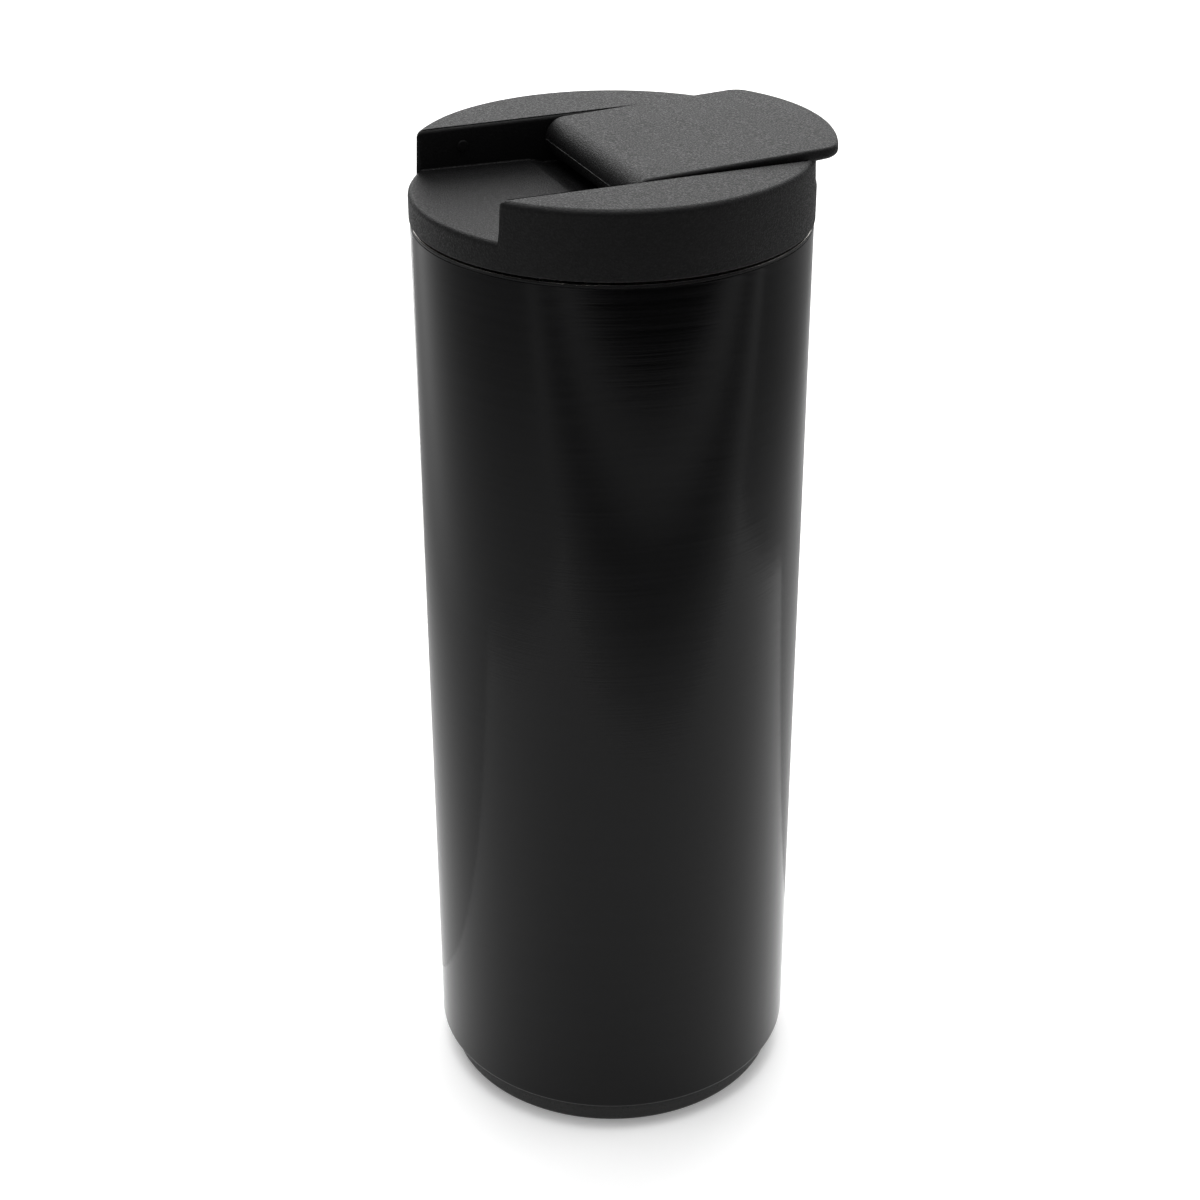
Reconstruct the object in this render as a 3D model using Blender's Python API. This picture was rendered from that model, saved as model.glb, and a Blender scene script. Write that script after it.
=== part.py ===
"""Insulated travel mug: a double-walled steel mug with a screw-in lid and a flip-over flap.

The frame is in metres with +Z up, and the origin is the centre of the underside. The lid's channel
runs along X. The closed flap covers its +X half, which is the drinking side, and the flap's hinge
axis is parallel to Y. Sizes below are in millimetres, and MM turns them into metres.
"""
import math

import bmesh
import bpy
from mathutils import Matrix, Vector

MM = 0.001

# --- driving dimensions, in millimetres ---------------------------------------------------------
GAP = 0.3                    # the gap between neighbouring pieces
ROUND_SIDES = 64             # the sides of the outer round pieces
INNER_SIDES = 40             # the sides of the inner round pieces
SMALL_SIDES = 24             # the sides of small round pieces

BODY_RADIUS = 36.3           # outside of the steel body
LID_RADIUS = 36.5            # outside of the lid
SHEET = 0.6                  # thickness of the steel sheet
VACUUM_GAP = 3.3             # between the two steel walls
BODY_BOTTOM = 6.0            # lower edge of the outer shell
RIM_TOP = 181.85             # top of the steel rim
LID_BOTTOM = 182.35          # lower edge of the lid
LID_TOP = 194.8              # top of the lid's two shoulders
LINER_FLOOR = 14.0           # inside floor of the mug

FOOT_RADIUS = 34.1
FOOT_BOTTOM = 0.4            # the silicone pad stands this far below the foot
PAD_RADIUS = 28.0
PAD_THICKNESS = 1.3

THREAD_LEAD = 18.0           # rise in one whole turn
THREAD_STARTS = 3
THREAD_SPAN = math.radians(90.0)
THREAD_PHASE = math.radians(2.2)  # keeps the ridges' ends off the corners of the round walls
THREAD_LINER_START = 173.8   # height of the middle of a liner ridge at its lower end
THREAD_BASE_HALF = 1.4
THREAD_CREST_HALF = 1.0
SEAT_RADIUS = 29.5           # crest of the liner's sealing bead
SEAT_HEIGHT = 163.4

PLUG_RADIUS = 30.1
PLUG_INNER_RADIUS = 27.2
PLUG_BOTTOM = 165.0
PLUG_FLOOR = 1.8
FLANGE_RADIUS = 34.2
FLANGE_BOTTOM = 182.25
FLANGE_TOP = 183.4

LID_WALL = 2.0
CHANNEL_HALF = 21.15         # half the width of the channel across the lid
CHANNEL_SLOPE = math.radians(1.2)
WELL_DEPTH = 0.65            # the floor drops this far under the hinge
WELL_START = -7.8            # where it starts to drop, and where it is level again
WELL_LEVEL = -5.2
DECK_TOP = 189.3             # the drinking side's deck, inside the channel
STEP_START = 3.6             # where the channel floor starts to rise to the deck
STEP_END = 5.2
BUMP_PLACE = (-20.7, 191.25)  # X and Z of the two bumps that hold the open flap
BUMP_RADIUS = 1.0
BUMP_HEIGHT = 0.4

DRINK_X = 21.0               # middle of the drinking opening
DRINK_HALF = (4.0, 8.0)      # its half axes, along X and Y
VENT_X = 10.0
VENT_RADIUS = 1.4
TUBE_WALL = 1.2

HINGE_X = -1.1
HINGE_Z = 191.0
NOSE_RADIUS = 3.8            # the flap's round hinge barrel
FLAP_TILT = math.radians(2.3)  # the closed flap rises towards its tip
FLAP_HALF = 20.5
PLATE_THICKNESS = 2.2
TIP_CENTRE = 3.8             # centre of the tip's arc, measured from the hinge axis
TIP_RADIUS = 37.7
TIP_CORNER = 4.0
EDGE_ROUND = 0.6
WEB_THICKNESS = 1.2
SKIRT_START = 6.0            # the tray under the flap starts here, from the hinge axis
SKIRT_HALF = 19.3            # half width of the tray, inside the two bumps' reach
SKIRT_WALL = 1.4
END_RADIUS = 36.2            # the tray's end wall, almost flush with the lid's side
PIN_RADIUS = 1.2
PIN_HALF = 22.9


# --- materials -------------------------------------------------------------------------------------
def material(name, color, roughness, metallic=0.0):
    """A Principled material."""
    made = bpy.data.materials.new(name)
    made.use_nodes = True
    shader = made.node_tree.nodes["Principled BSDF"]
    shader.inputs["Base Color"].default_value = (*color, 1.0)
    shader.inputs["Roughness"].default_value = roughness
    shader.inputs["Metallic"].default_value = metallic
    made.diffuse_color = (*color, 1.0)
    return made


# --- mesh helpers ----------------------------------------------------------------------------------
def arc(centre, radius, start, end, steps):
    """Points on an arc from one angle to another, in degrees."""
    angles = [math.radians(start + (end - start) * i / steps) for i in range(steps + 1)]
    return [(centre[0] + radius * math.cos(a), centre[1] + radius * math.sin(a)) for a in angles]


def turned(profile, sides, centre=(0.0, 0.0)):
    """A closed (radius, height) profile turned about a vertical axis."""
    bm = bmesh.new()
    rings = []
    for radius, height in profile:
        if radius < 1e-6:
            rings.append([bm.verts.new((centre[0] * MM, centre[1] * MM, height * MM))])
            continue
        ring = []
        for i in range(sides):
            angle = 2.0 * math.pi * i / sides
            x = centre[0] + radius * math.cos(angle)
            y = centre[1] + radius * math.sin(angle)
            ring.append(bm.verts.new((x * MM, y * MM, height * MM)))
        rings.append(ring)
    for low, high in zip(rings, rings[1:] + rings[:1]):
        if len(low) == 1 and len(high) == 1:
            continue
        for i in range(sides):
            j = (i + 1) % sides
            corners = [low[i % len(low)], low[j % len(low)], high[j % len(high)], high[i % len(high)]]
            bm.faces.new(list(dict.fromkeys(corners)))
    return bm


def lofted(rings):
    """Rings of equal length joined in order, with a cap on both ends."""
    bm = bmesh.new()
    made = [[bm.verts.new(Vector(point) * MM) for point in ring] for ring in rings]
    for low, high in zip(made, made[1:]):
        for i in range(len(low)):
            j = (i + 1) % len(low)
            bm.faces.new((low[i], low[j], high[j], high[i]))
    bm.faces.new(made[0])
    bm.faces.new(made[-1])
    return bm


def extruded(profile, half_width):
    """An (x, z) profile extruded along Y to both sides."""
    return lofted([[(x, side * half_width, z) for x, z in profile] for side in (-1, 1)])


def oval(half_axes, centre_x, height, sides=32):
    """A level ring of points on an ellipse."""
    angles = [2.0 * math.pi * i / sides for i in range(sides)]
    return [(centre_x + half_axes[0] * math.cos(a), half_axes[1] * math.sin(a), height) for a in angles]


def moved(bm, x=0.0, y=0.0, z=0.0):
    """The mesh moved by a distance in millimetres."""
    bmesh.ops.translate(bm, verts=bm.verts, vec=Vector((x, y, z)) * MM)
    return bm


def across(bm):
    """The mesh turned so that its own Z axis lies along Y."""
    bmesh.ops.rotate(bm, verts=bm.verts, cent=(0, 0, 0), matrix=Matrix.Rotation(-math.pi / 2, 3, "X"))
    return bm


def place(name, bm, finish=None, parent=None, tilt=0.0):
    """The mesh as a named object, on a parent empty where one is given."""
    bmesh.ops.recalc_face_normals(bm, faces=bm.faces)
    mesh = bpy.data.meshes.new(name)
    bm.to_mesh(mesh)
    bm.free()
    if finish:
        mesh.materials.append(finish)
    mesh.shade_smooth()
    mesh.set_sharp_from_angle(angle=math.radians(35.0))
    made = bpy.data.objects.new(name, mesh)
    bpy.context.collection.objects.link(made)
    made.parent = parent
    made.rotation_euler.y = -tilt
    return made


def shape_with(target, operation, name, bm, tilt=0.0, parent=None):
    """Cut a mesh out of the target, or join it on. The tool is kept as a hidden wire object."""
    tool = place(name, bm, parent=parent, tilt=tilt)
    tool.hide_render = True
    tool.display_type = "WIRE"
    change = target.modifiers.new(name, "BOOLEAN")
    change.operation = operation
    change.solver = "EXACT"
    change.object = tool
    return tool


def thread_ridges(base_radius, crest_radius, start_height):
    """The ridges of a right-hand thread with several starts, each a closed solid."""
    bm = bmesh.new()
    steps = 18
    section = [
        (base_radius, -THREAD_BASE_HALF), (crest_radius, -THREAD_CREST_HALF),
        (crest_radius, THREAD_CREST_HALF), (base_radius, THREAD_BASE_HALF),
    ]
    for start in range(THREAD_STARTS):
        first = THREAD_PHASE + 2.0 * math.pi * start / THREAD_STARTS
        rings = []
        for i in range(steps + 1):
            angle = THREAD_SPAN * i / steps
            middle = start_height + THREAD_LEAD * angle / (2.0 * math.pi)
            ring = [(r * math.cos(first + angle), r * math.sin(first + angle), middle + z)
                    for r, z in section]
            rings.append([bm.verts.new(Vector(point) * MM) for point in ring])
        for low, high in zip(rings, rings[1:]):
            for i in range(len(section)):
                j = (i + 1) % len(section)
                bm.faces.new((low[i], low[j], high[j], high[i]))
        bm.faces.new(rings[0])
        bm.faces.new(rings[-1])
    return bm


# --- the mug ---------------------------------------------------------------------------------------
def make_outer_shell(finish):
    """The coated outer wall, with its lower edge turned in."""
    inner = BODY_RADIUS - SHEET
    top = RIM_TOP - SHEET - GAP
    low = BODY_BOTTOM
    profile = [(FOOT_RADIUS + 0.65, low), (BODY_RADIUS - 0.5, low)]
    profile += arc((BODY_RADIUS - 0.5, low + 0.5), 0.5, -60, 0, 2)
    profile += [(BODY_RADIUS, top - 0.25), (BODY_RADIUS - 0.2, top), (inner, top)]
    profile += [(inner, low + 1.0), (inner - 0.3, low + SHEET), (FOOT_RADIUS + 0.65, low + SHEET)]
    place("outer_shell", turned(profile, ROUND_SIDES), finish)


def make_inner_liner(finish):
    """The bare steel inner vessel, with its flared rim, its thread and its sealing bead."""
    inner = BODY_RADIUS - SHEET - VACUUM_GAP - SHEET
    outer = inner + SHEET
    corner = 5.8
    lean = 0.25                   # keeps the sheet's thickness on the bead's 45 degree sides
    inside = [(0.0, LINER_FLOOR)]
    inside += arc((inner - corner, LINER_FLOOR + corner), corner, -90, 0, 4)
    inside += [(inner, SEAT_HEIGHT - 2.8), (SEAT_RADIUS, SEAT_HEIGHT - 0.4)]
    inside += [(SEAT_RADIUS, SEAT_HEIGHT + 0.4), (inner, SEAT_HEIGHT + 2.8)]
    inside += arc((inner + 2.2, RIM_TOP - 2.2), 2.2, 180, 90, 4)
    lip = BODY_RADIUS - 0.05
    edge = [(lip - 0.35, RIM_TOP), (lip, RIM_TOP - 0.25), (lip, RIM_TOP - SHEET)]
    outside = arc((inner + 2.2, RIM_TOP - 2.2), 2.2 - SHEET, 90, 180, 3)
    outside += [(outer, SEAT_HEIGHT + 2.8 - lean), (SEAT_RADIUS + SHEET, SEAT_HEIGHT + 0.4 - lean)]
    outside += [(SEAT_RADIUS + SHEET, SEAT_HEIGHT - 0.4 + lean), (outer, SEAT_HEIGHT - 2.8 + lean)]
    outside += arc((inner - corner, LINER_FLOOR + corner), corner + SHEET, 0, -90, 4)
    outside += [(0.0, LINER_FLOOR - SHEET)]
    liner = place("inner_liner", turned(inside + edge + outside, INNER_SIDES), finish)
    ridges = thread_ridges(inner + SHEET / 2, inner - 1.1, THREAD_LINER_START)
    shape_with(liner, "UNION", "liner_thread_tool", ridges)


def make_vacuum_base(finish):
    """The dished plate that closes the vacuum space, welded inside the shell."""
    radius = BODY_RADIUS - SHEET - GAP
    top = 9.8
    upper = [(0.0, top - 1.2), (5.0, top - 1.2), (7.0, top), (radius - 1.6, top)]
    upper += [(radius - 0.45, top - 0.5), (radius, top - 1.5), (radius, BODY_BOTTOM + 1.0)]
    lower = [(radius - SHEET, BODY_BOTTOM + 1.0), (radius - SHEET, top - 1.6)]
    lower += [(radius - 0.95, top - 1.0), (radius - 1.8, top - SHEET)]
    lower += [(7.25, top - SHEET), (5.25, top - 1.2 - SHEET), (0.0, top - 1.2 - SHEET)]
    place("vacuum_base", turned(upper + lower, INNER_SIDES), finish)


def make_getter(finish):
    """The pellet that takes up stray gas in the vacuum space."""
    profile = [(0.0, 10.1), (4.1, 10.1), (4.5, 10.5), (4.5, 11.3), (4.1, 11.7), (0.0, 11.7)]
    place("getter", turned(profile, SMALL_SIDES, centre=(14.0, 0.0)), finish)


def make_vacuum_seal(finish):
    """The bead of solder glass that seals the pumping hole in the vacuum plate."""
    profile = [(0.0, 6.2), (1.0, 6.4), (1.8, 7.1), (1.9, 7.7), (0.0, 7.7)]
    place("vacuum_seal", turned(profile, SMALL_SIDES), finish)


def make_base_foot(finish):
    """The moulded foot, which fits up inside the shell's turned-in edge."""
    rounding = 1.5
    wall = 1.8
    profile = [(0.0, PAD_THICKNESS + GAP), (PAD_RADIUS + GAP, PAD_THICKNESS + GAP)]
    profile += [(PAD_RADIUS + GAP, FOOT_BOTTOM)]
    profile += arc((FOOT_RADIUS - rounding, FOOT_BOTTOM + rounding), rounding, -90, 0, 4)
    profile += [(FOOT_RADIUS, 7.8), (FOOT_RADIUS - wall, 7.8), (FOOT_RADIUS - wall, 3.4), (0.0, 3.4)]
    place("base_foot", turned(profile, ROUND_SIDES), finish)


def make_base_pad(finish):
    """The soft disc that the mug stands on."""
    edge = 0.3
    profile = [(0.0, 0.0), (PAD_RADIUS - edge, 0.0), (PAD_RADIUS, edge)]
    profile += [(PAD_RADIUS, PAD_THICKNESS), (0.0, PAD_THICKNESS)]
    place("base_pad", turned(profile, ROUND_SIDES), finish)


# --- the lid ---------------------------------------------------------------------------------------
def channel_floor(x):
    """Height of the empty half's floor. It rises a little from the hinge to the rim."""
    clearance = 0.35
    under_hinge = HINGE_Z - (NOSE_RADIUS + clearance) / math.cos(CHANNEL_SLOPE)
    return under_hinge + (HINGE_X - x) * math.tan(CHANNEL_SLOPE)


def channel_section(depth, reach):
    """The channel's side view from end to end, sunk by a depth. It is open upwards."""
    well = channel_floor(HINGE_X) - WELL_DEPTH - depth
    return [
        (-reach, channel_floor(-reach) - depth), (WELL_START, channel_floor(WELL_START) - depth),
        (WELL_LEVEL, well), (STEP_START, well), (STEP_END, DECK_TOP - depth),
        (reach, DECK_TOP - depth), (reach, LID_TOP + 5.0), (-reach, LID_TOP + 5.0),
    ]


def make_lid_cover(finish, parent):
    """The moulded lid: skirt, two shoulders, the channel between them, and its openings."""
    rounding = 1.0
    profile = [(0.0, LID_BOTTOM), (LID_RADIUS - 0.25, LID_BOTTOM), (LID_RADIUS, LID_BOTTOM + 0.25)]
    profile += arc((LID_RADIUS - rounding, LID_TOP - rounding), rounding, 0, 90, 3)
    profile += [(0.0, LID_TOP)]
    cover = place("lid_cover", turned(profile, ROUND_SIDES), finish, parent)

    inner = LID_RADIUS - LID_WALL
    hollow_profile = [(0.0, LID_BOTTOM - 2.0), (inner, LID_BOTTOM - 2.0)]
    hollow_profile += [(inner, LID_TOP - LID_WALL), (0.0, LID_TOP - LID_WALL)]
    hollow = shape_with(cover, "DIFFERENCE", "lid_hollow_tool", turned(hollow_profile, ROUND_SIDES),
                        parent=parent)
    trough = extruded(channel_section(LID_WALL, LID_RADIUS + 4.0), CHANNEL_HALF + LID_WALL)
    shape_with(hollow, "DIFFERENCE", "lid_trough_tool", trough, parent=parent)
    channel = extruded(channel_section(0.0, LID_RADIUS + 6.0), CHANNEL_HALF)
    shape_with(cover, "DIFFERENCE", "lid_channel_tool", channel, parent=parent)

    opening = lofted([oval(DRINK_HALF, DRINK_X, z) for z in (DECK_TOP - 4.0, DECK_TOP + 1.0)])
    shape_with(cover, "DIFFERENCE", "drink_opening_tool", opening, parent=parent)
    vent = turned([(0.0, DECK_TOP - 4.0), (VENT_RADIUS, DECK_TOP - 4.0),
                   (VENT_RADIUS, DECK_TOP + 1.0), (0.0, DECK_TOP + 1.0)], SMALL_SIDES, (VENT_X, 0.0))
    shape_with(cover, "DIFFERENCE", "vent_tool", vent, parent=parent)
    bore = moved(pin_bore(CHANNEL_HALF + LID_WALL + 1.0), HINGE_X, 0.0, HINGE_Z)
    shape_with(cover, "DIFFERENCE", "pin_bore_tool", bore, parent=parent)
    for side, name in ((-1, "front_bump_tool"), (1, "rear_bump_tool")):
        shape_with(cover, "UNION", name, wall_bump(side), parent=parent)


def wall_bump(side):
    """A low round bump on one wall of the channel, facing the middle."""
    height = BUMP_HEIGHT
    radius = BUMP_RADIUS
    profile = [(0.0, -0.4), (radius, -0.4), (radius, 0.0), (0.87 * radius, 0.5 * height)]
    profile += [(0.5 * radius, 0.87 * height), (0.0, height)]
    bump = across(turned(profile, 16))
    if side > 0:
        bmesh.ops.rotate(bump, verts=bump.verts, cent=(0, 0, 0), matrix=Matrix.Rotation(math.pi, 3, "Z"))
    return moved(bump, BUMP_PLACE[0], side * CHANNEL_HALF, BUMP_PLACE[1])


def make_lid_plug(finish, parent):
    """The threaded cup under the cover, with the drinking and vent passages through it."""
    groove = 1.4
    outside = [(0.0, PLUG_BOTTOM), (PLUG_RADIUS - 0.8, PLUG_BOTTOM)]
    outside += [(PLUG_RADIUS - 0.4, PLUG_BOTTOM + 0.4), (PLUG_RADIUS - 0.4, PLUG_BOTTOM + 1.2)]
    outside += [(PLUG_RADIUS - groove, PLUG_BOTTOM + 1.2), (PLUG_RADIUS - groove, PLUG_BOTTOM + 4.0)]
    outside += [(PLUG_RADIUS, PLUG_BOTTOM + 4.0), (PLUG_RADIUS, FLANGE_BOTTOM)]
    outside += [(FLANGE_RADIUS, FLANGE_BOTTOM), (FLANGE_RADIUS, FLANGE_TOP)]
    inside = [(PLUG_INNER_RADIUS, FLANGE_TOP), (PLUG_INNER_RADIUS, PLUG_BOTTOM + PLUG_FLOOR)]
    inside += [(0.0, PLUG_BOTTOM + PLUG_FLOOR)]
    plug = place("lid_plug", turned(outside + inside, INNER_SIDES), finish, parent)

    start_height = THREAD_LINER_START - THREAD_LEAD / THREAD_STARTS / 2.0
    ridges = thread_ridges(PLUG_RADIUS - 0.4, PLUG_RADIUS + 1.2, start_height)
    shape_with(plug, "UNION", "plug_thread_tool", ridges, parent=parent)
    foot = PLUG_BOTTOM + 1.0
    tube_half = (DRINK_HALF[0] + TUBE_WALL, DRINK_HALF[1] + TUBE_WALL)
    tube = lofted([oval(tube_half, DRINK_X, z) for z in (foot, DECK_TOP - LID_WALL - 1.1)])
    shape_with(plug, "UNION", "drink_tube_tool", tube, parent=parent)
    vent_radius = VENT_RADIUS + TUBE_WALL
    vent_top = DECK_TOP - LID_WALL - 0.7
    vent_tube = turned([(0.0, foot), (vent_radius, foot), (vent_radius, vent_top), (0.0, vent_top)],
                       SMALL_SIDES, (VENT_X, 0.0))
    shape_with(plug, "UNION", "vent_tube_tool", vent_tube, parent=parent)
    passage = lofted([oval(DRINK_HALF, DRINK_X, z) for z in (PLUG_BOTTOM - 2.0, DECK_TOP)])
    shape_with(plug, "DIFFERENCE", "drink_passage_tool", passage, parent=parent)
    vent = turned([(0.0, PLUG_BOTTOM - 2.0), (VENT_RADIUS, PLUG_BOTTOM - 2.0),
                   (VENT_RADIUS, DECK_TOP), (0.0, DECK_TOP)], SMALL_SIDES, (VENT_X, 0.0))
    shape_with(plug, "DIFFERENCE", "vent_passage_tool", vent, parent=parent)


def make_spout_seal(finish, parent):
    """The oval silicone ring between the drinking tube and the deck above it."""
    top = DECK_TOP - LID_WALL - GAP
    outer_half = (DRINK_HALF[0] + TUBE_WALL, DRINK_HALF[1] + TUBE_WALL)
    ring = place("spout_seal", lofted([oval(outer_half, DRINK_X, z) for z in (top - 0.5, top)]),
                 finish, parent)
    hole = lofted([oval(DRINK_HALF, DRINK_X, z) for z in (top - 2.0, top + 2.0)])
    shape_with(ring, "DIFFERENCE", "spout_seal_tool", hole, parent=parent)


def make_lid_seal(finish, parent):
    """The silicone lip ring in the plug's groove. It comes down onto the liner's bead."""
    inner = PLUG_RADIUS - 1.4 + GAP
    lip = PLUG_RADIUS + 0.4
    low = PLUG_BOTTOM
    profile = [(inner, low + 1.5), (lip - GAP, low + 1.5), (lip - GAP, low + 0.35), (lip, low + 0.35)]
    profile += [(lip, low + 2.9), (lip - 0.5, low + 3.7), (inner, low + 3.7)]
    place("lid_seal", turned(profile, INNER_SIDES), finish, parent)


# --- the flap --------------------------------------------------------------------------------------
def rounded_end(start, half, centre, radius, corner, height):
    """A level outline: straight sides from a start, two round corners and a wide end arc."""
    reach = math.sqrt((radius - corner) ** 2 - (half - corner) ** 2)
    lean = math.degrees(math.atan2(half - corner, reach))
    points = [(start, -half)]
    points += arc((centre + reach, corner - half), corner, -90, -lean, 4)
    points += arc((centre, 0.0), radius, -lean, lean, 12)[1:-1]
    points += arc((centre + reach, half - corner), corner, lean, 90, 4)
    points += [(start, half)]
    return [(x, y, height(x) if callable(height) else height) for x, y in points]


def pin_bore(half_length):
    """The tool for a running hole around the hinge pin, centred on the hinge axis."""
    radius = PIN_RADIUS + GAP
    profile = [(0.0, -half_length), (radius, -half_length), (radius, half_length), (0.0, half_length)]
    return across(turned(profile, SMALL_SIDES))


def make_flap_top(finish, parent):
    """The flap's upper plate, made in one piece with its round hinge barrel."""
    under = NOSE_RADIUS - PLATE_THICKNESS
    over = NOSE_RADIUS + 0.5
    far = TIP_CENTRE + TIP_RADIUS + 2.0
    meeting = math.degrees(math.asin(under / NOSE_RADIUS))
    section = [(0.0, over)] + arc((0.0, 0.0), NOSE_RADIUS, 90, 360 + meeting, 20)
    section += [(far, under), (far, over)]
    flap = place("flap_top", extruded(section, FLAP_HALF + 1.5), finish, parent, FLAP_TILT)

    levels = [(0.0, -NOSE_RADIUS - 2.0), (0.0, NOSE_RADIUS - EDGE_ROUND)]
    for degrees in (30, 60, 90):
        rise = math.radians(degrees)
        inset = EDGE_ROUND * (1.0 - math.cos(rise))
        levels.append((inset, NOSE_RADIUS - EDGE_ROUND * (1.0 - math.sin(rise))))
    start = -NOSE_RADIUS - 2.0
    outline = lofted([
        rounded_end(start, FLAP_HALF - inset, TIP_CENTRE, TIP_RADIUS - inset, TIP_CORNER - inset, z)
        for inset, z in levels
    ])
    shape_with(flap, "INTERSECT", "flap_outline_tool", outline, FLAP_TILT, parent)
    shape_with(flap, "DIFFERENCE", "barrel_bore_tool", pin_bore(FLAP_HALF + 1.0), parent=parent)


def skirt_bottom(x):
    """Height of the tray's lower edge in the flap's tilted frame. It is level above the deck."""
    level = DECK_TOP + GAP - HINGE_Z
    return level / math.cos(FLAP_TILT) - x * math.tan(FLAP_TILT)


def make_flap_base(finish, parent):
    """The tray under the flap: a web with a skirt round it, and an end wall that fills the notch."""
    top = NOSE_RADIUS - PLATE_THICKNESS - GAP
    web = top - WEB_THICKNESS
    inner_radius = END_RADIUS - SKIRT_WALL
    step = math.sqrt(inner_radius ** 2 - FLAP_HALF ** 2) - HINGE_X
    rings = []
    for height in (skirt_bottom, top):
        end = rounded_end(step, FLAP_HALF, -HINGE_X, END_RADIUS, 0.5, height)
        sides = rounded_end(SKIRT_START, SKIRT_HALF, -HINGE_X, inner_radius, 0.8, height)
        front = (step, -SKIRT_HALF, end[0][2])
        rear = (step, SKIRT_HALF, end[-1][2])
        rings.append([sides[0], front] + end + [rear, sides[-1]])
    base = place("flap_base", lofted(rings), finish, parent, FLAP_TILT)
    inner = [rounded_end(SKIRT_START + SKIRT_WALL, SKIRT_HALF - SKIRT_WALL, -HINGE_X, inner_radius,
                         0.8, height)
             for height in (lambda x: skirt_bottom(x) - 2.0, web)]
    shape_with(base, "DIFFERENCE", "flap_pocket_tool", lofted(inner), FLAP_TILT, parent)


def make_hinge_pin(finish, parent):
    """The steel pin through the flap's barrel. Its ends sit in the channel's walls."""
    edge = 0.25
    profile = [(0.0, -PIN_HALF), (PIN_RADIUS - edge, -PIN_HALF), (PIN_RADIUS, -PIN_HALF + edge)]
    profile += [(PIN_RADIUS, PIN_HALF - edge), (PIN_RADIUS - edge, PIN_HALF), (0.0, PIN_HALF)]
    place("hinge_pin", moved(across(turned(profile, SMALL_SIDES)), HINGE_X, 0.0, HINGE_Z), finish, parent)


def under_web(x):
    """Height of the web's underside over the mug's base, at a distance from the hinge axis."""
    web = NOSE_RADIUS - PLATE_THICKNESS - GAP - WEB_THICKNESS
    return web / math.cos(FLAP_TILT) + x * math.tan(FLAP_TILT)


def make_drink_stopper(finish, parent):
    """The silicone stopper that fills the drinking opening when the flap is closed."""
    centre = DRINK_X - HINGE_X
    flange_half = (DRINK_HALF[0] + 2.2, DRINK_HALF[1] + 2.2)
    top = under_web(centre - flange_half[0]) - GAP
    deck = DECK_TOP - HINGE_Z
    seat_half = (DRINK_HALF[0] - 0.6, DRINK_HALF[1] - 0.6)
    nose_half = (DRINK_HALF[0] - 1.6, DRINK_HALF[1] - 1.6)
    rings = [oval(flange_half, centre, top), oval(flange_half, centre, deck + GAP)]
    rings += [oval(seat_half, centre, deck + GAP), oval(seat_half, centre, deck - 0.6)]
    rings += [oval(nose_half, centre, deck - 2.4)]
    place("drink_stopper", lofted(rings), finish, parent)


def make_vent_stopper(finish, parent):
    """The small silicone stopper that closes the vent."""
    centre = VENT_X - HINGE_X
    top = under_web(centre - 2.2) - GAP
    deck = DECK_TOP - HINGE_Z
    profile = [(0.0, top), (2.2, top), (2.2, deck + GAP), (VENT_RADIUS - 0.35, deck + GAP)]
    profile += [(VENT_RADIUS - 0.65, deck - 1.2), (0.0, deck - 1.2)]
    place("vent_stopper", turned(profile, SMALL_SIDES, (centre, 0.0)), finish, parent)


def make_axis(name, x=0.0, z=0.0, parent=None):
    """An empty on a joint's axis. Pieces that move with the joint hang on it."""
    axis = bpy.data.objects.new(name, None)
    bpy.context.collection.objects.link(axis)
    axis.location = (x * MM, 0.0, z * MM)
    axis.parent = parent
    return axis


def main():
    """Clear the scene and build every piece."""
    for old in list(bpy.data.objects):
        bpy.data.objects.remove(old, do_unlink=True)
    coating = material("black_coating", (0.022, 0.022, 0.023), 0.38, 0.3)
    steel = material("bare_steel", (0.62, 0.60, 0.57), 0.28, 1.0)
    lid_plastic = material("matte_black_plastic", (0.028, 0.028, 0.029), 0.6)
    plug_plastic = material("plug_plastic", (0.035, 0.035, 0.037), 0.5)
    foot_plastic = material("foot_plastic", (0.02, 0.02, 0.02), 0.6)
    silicone = material("grey_silicone", (0.16, 0.16, 0.165), 0.65)
    pad_silicone = material("black_silicone", (0.03, 0.03, 0.03), 0.8)
    pin_steel = material("pin_steel", (0.6, 0.6, 0.6), 0.25, 1.0)
    getter_metal = material("getter_metal", (0.3, 0.3, 0.31), 0.6, 0.8)
    solder_glass = material("solder_glass", (0.18, 0.14, 0.08), 0.2)

    make_outer_shell(coating)
    make_inner_liner(steel)
    make_vacuum_base(steel)
    make_getter(getter_metal)
    make_vacuum_seal(solder_glass)
    make_base_foot(foot_plastic)
    make_base_pad(pad_silicone)

    lid_axis = make_axis("lid_axis")
    make_lid_cover(lid_plastic, lid_axis)
    make_lid_plug(plug_plastic, lid_axis)
    make_lid_seal(silicone, lid_axis)
    make_spout_seal(silicone, lid_axis)
    make_hinge_pin(pin_steel, lid_axis)

    flap_axis = make_axis("flap_axis", HINGE_X, HINGE_Z, lid_axis)
    make_flap_top(lid_plastic, flap_axis)
    make_flap_base(plug_plastic, flap_axis)
    make_drink_stopper(silicone, flap_axis)
    make_vent_stopper(silicone, flap_axis)


main()
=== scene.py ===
"""The insulated travel mug, dressed for rendering.

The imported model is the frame: every piece rides on one of its bodies and takes its size from it.
Lengths in this file are millimetres, and MM turns them into the scene's metres. The lid's channel
runs along X, the closed flap covers its +X half, and the hinge axis is parallel to Y.
"""

import logging
import math
from dataclasses import dataclass, field
from enum import Enum
from typing import Any, Callable, Optional, Sequence, Union

import bmesh
import bpy
from mathutils import Matrix, Vector


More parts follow.
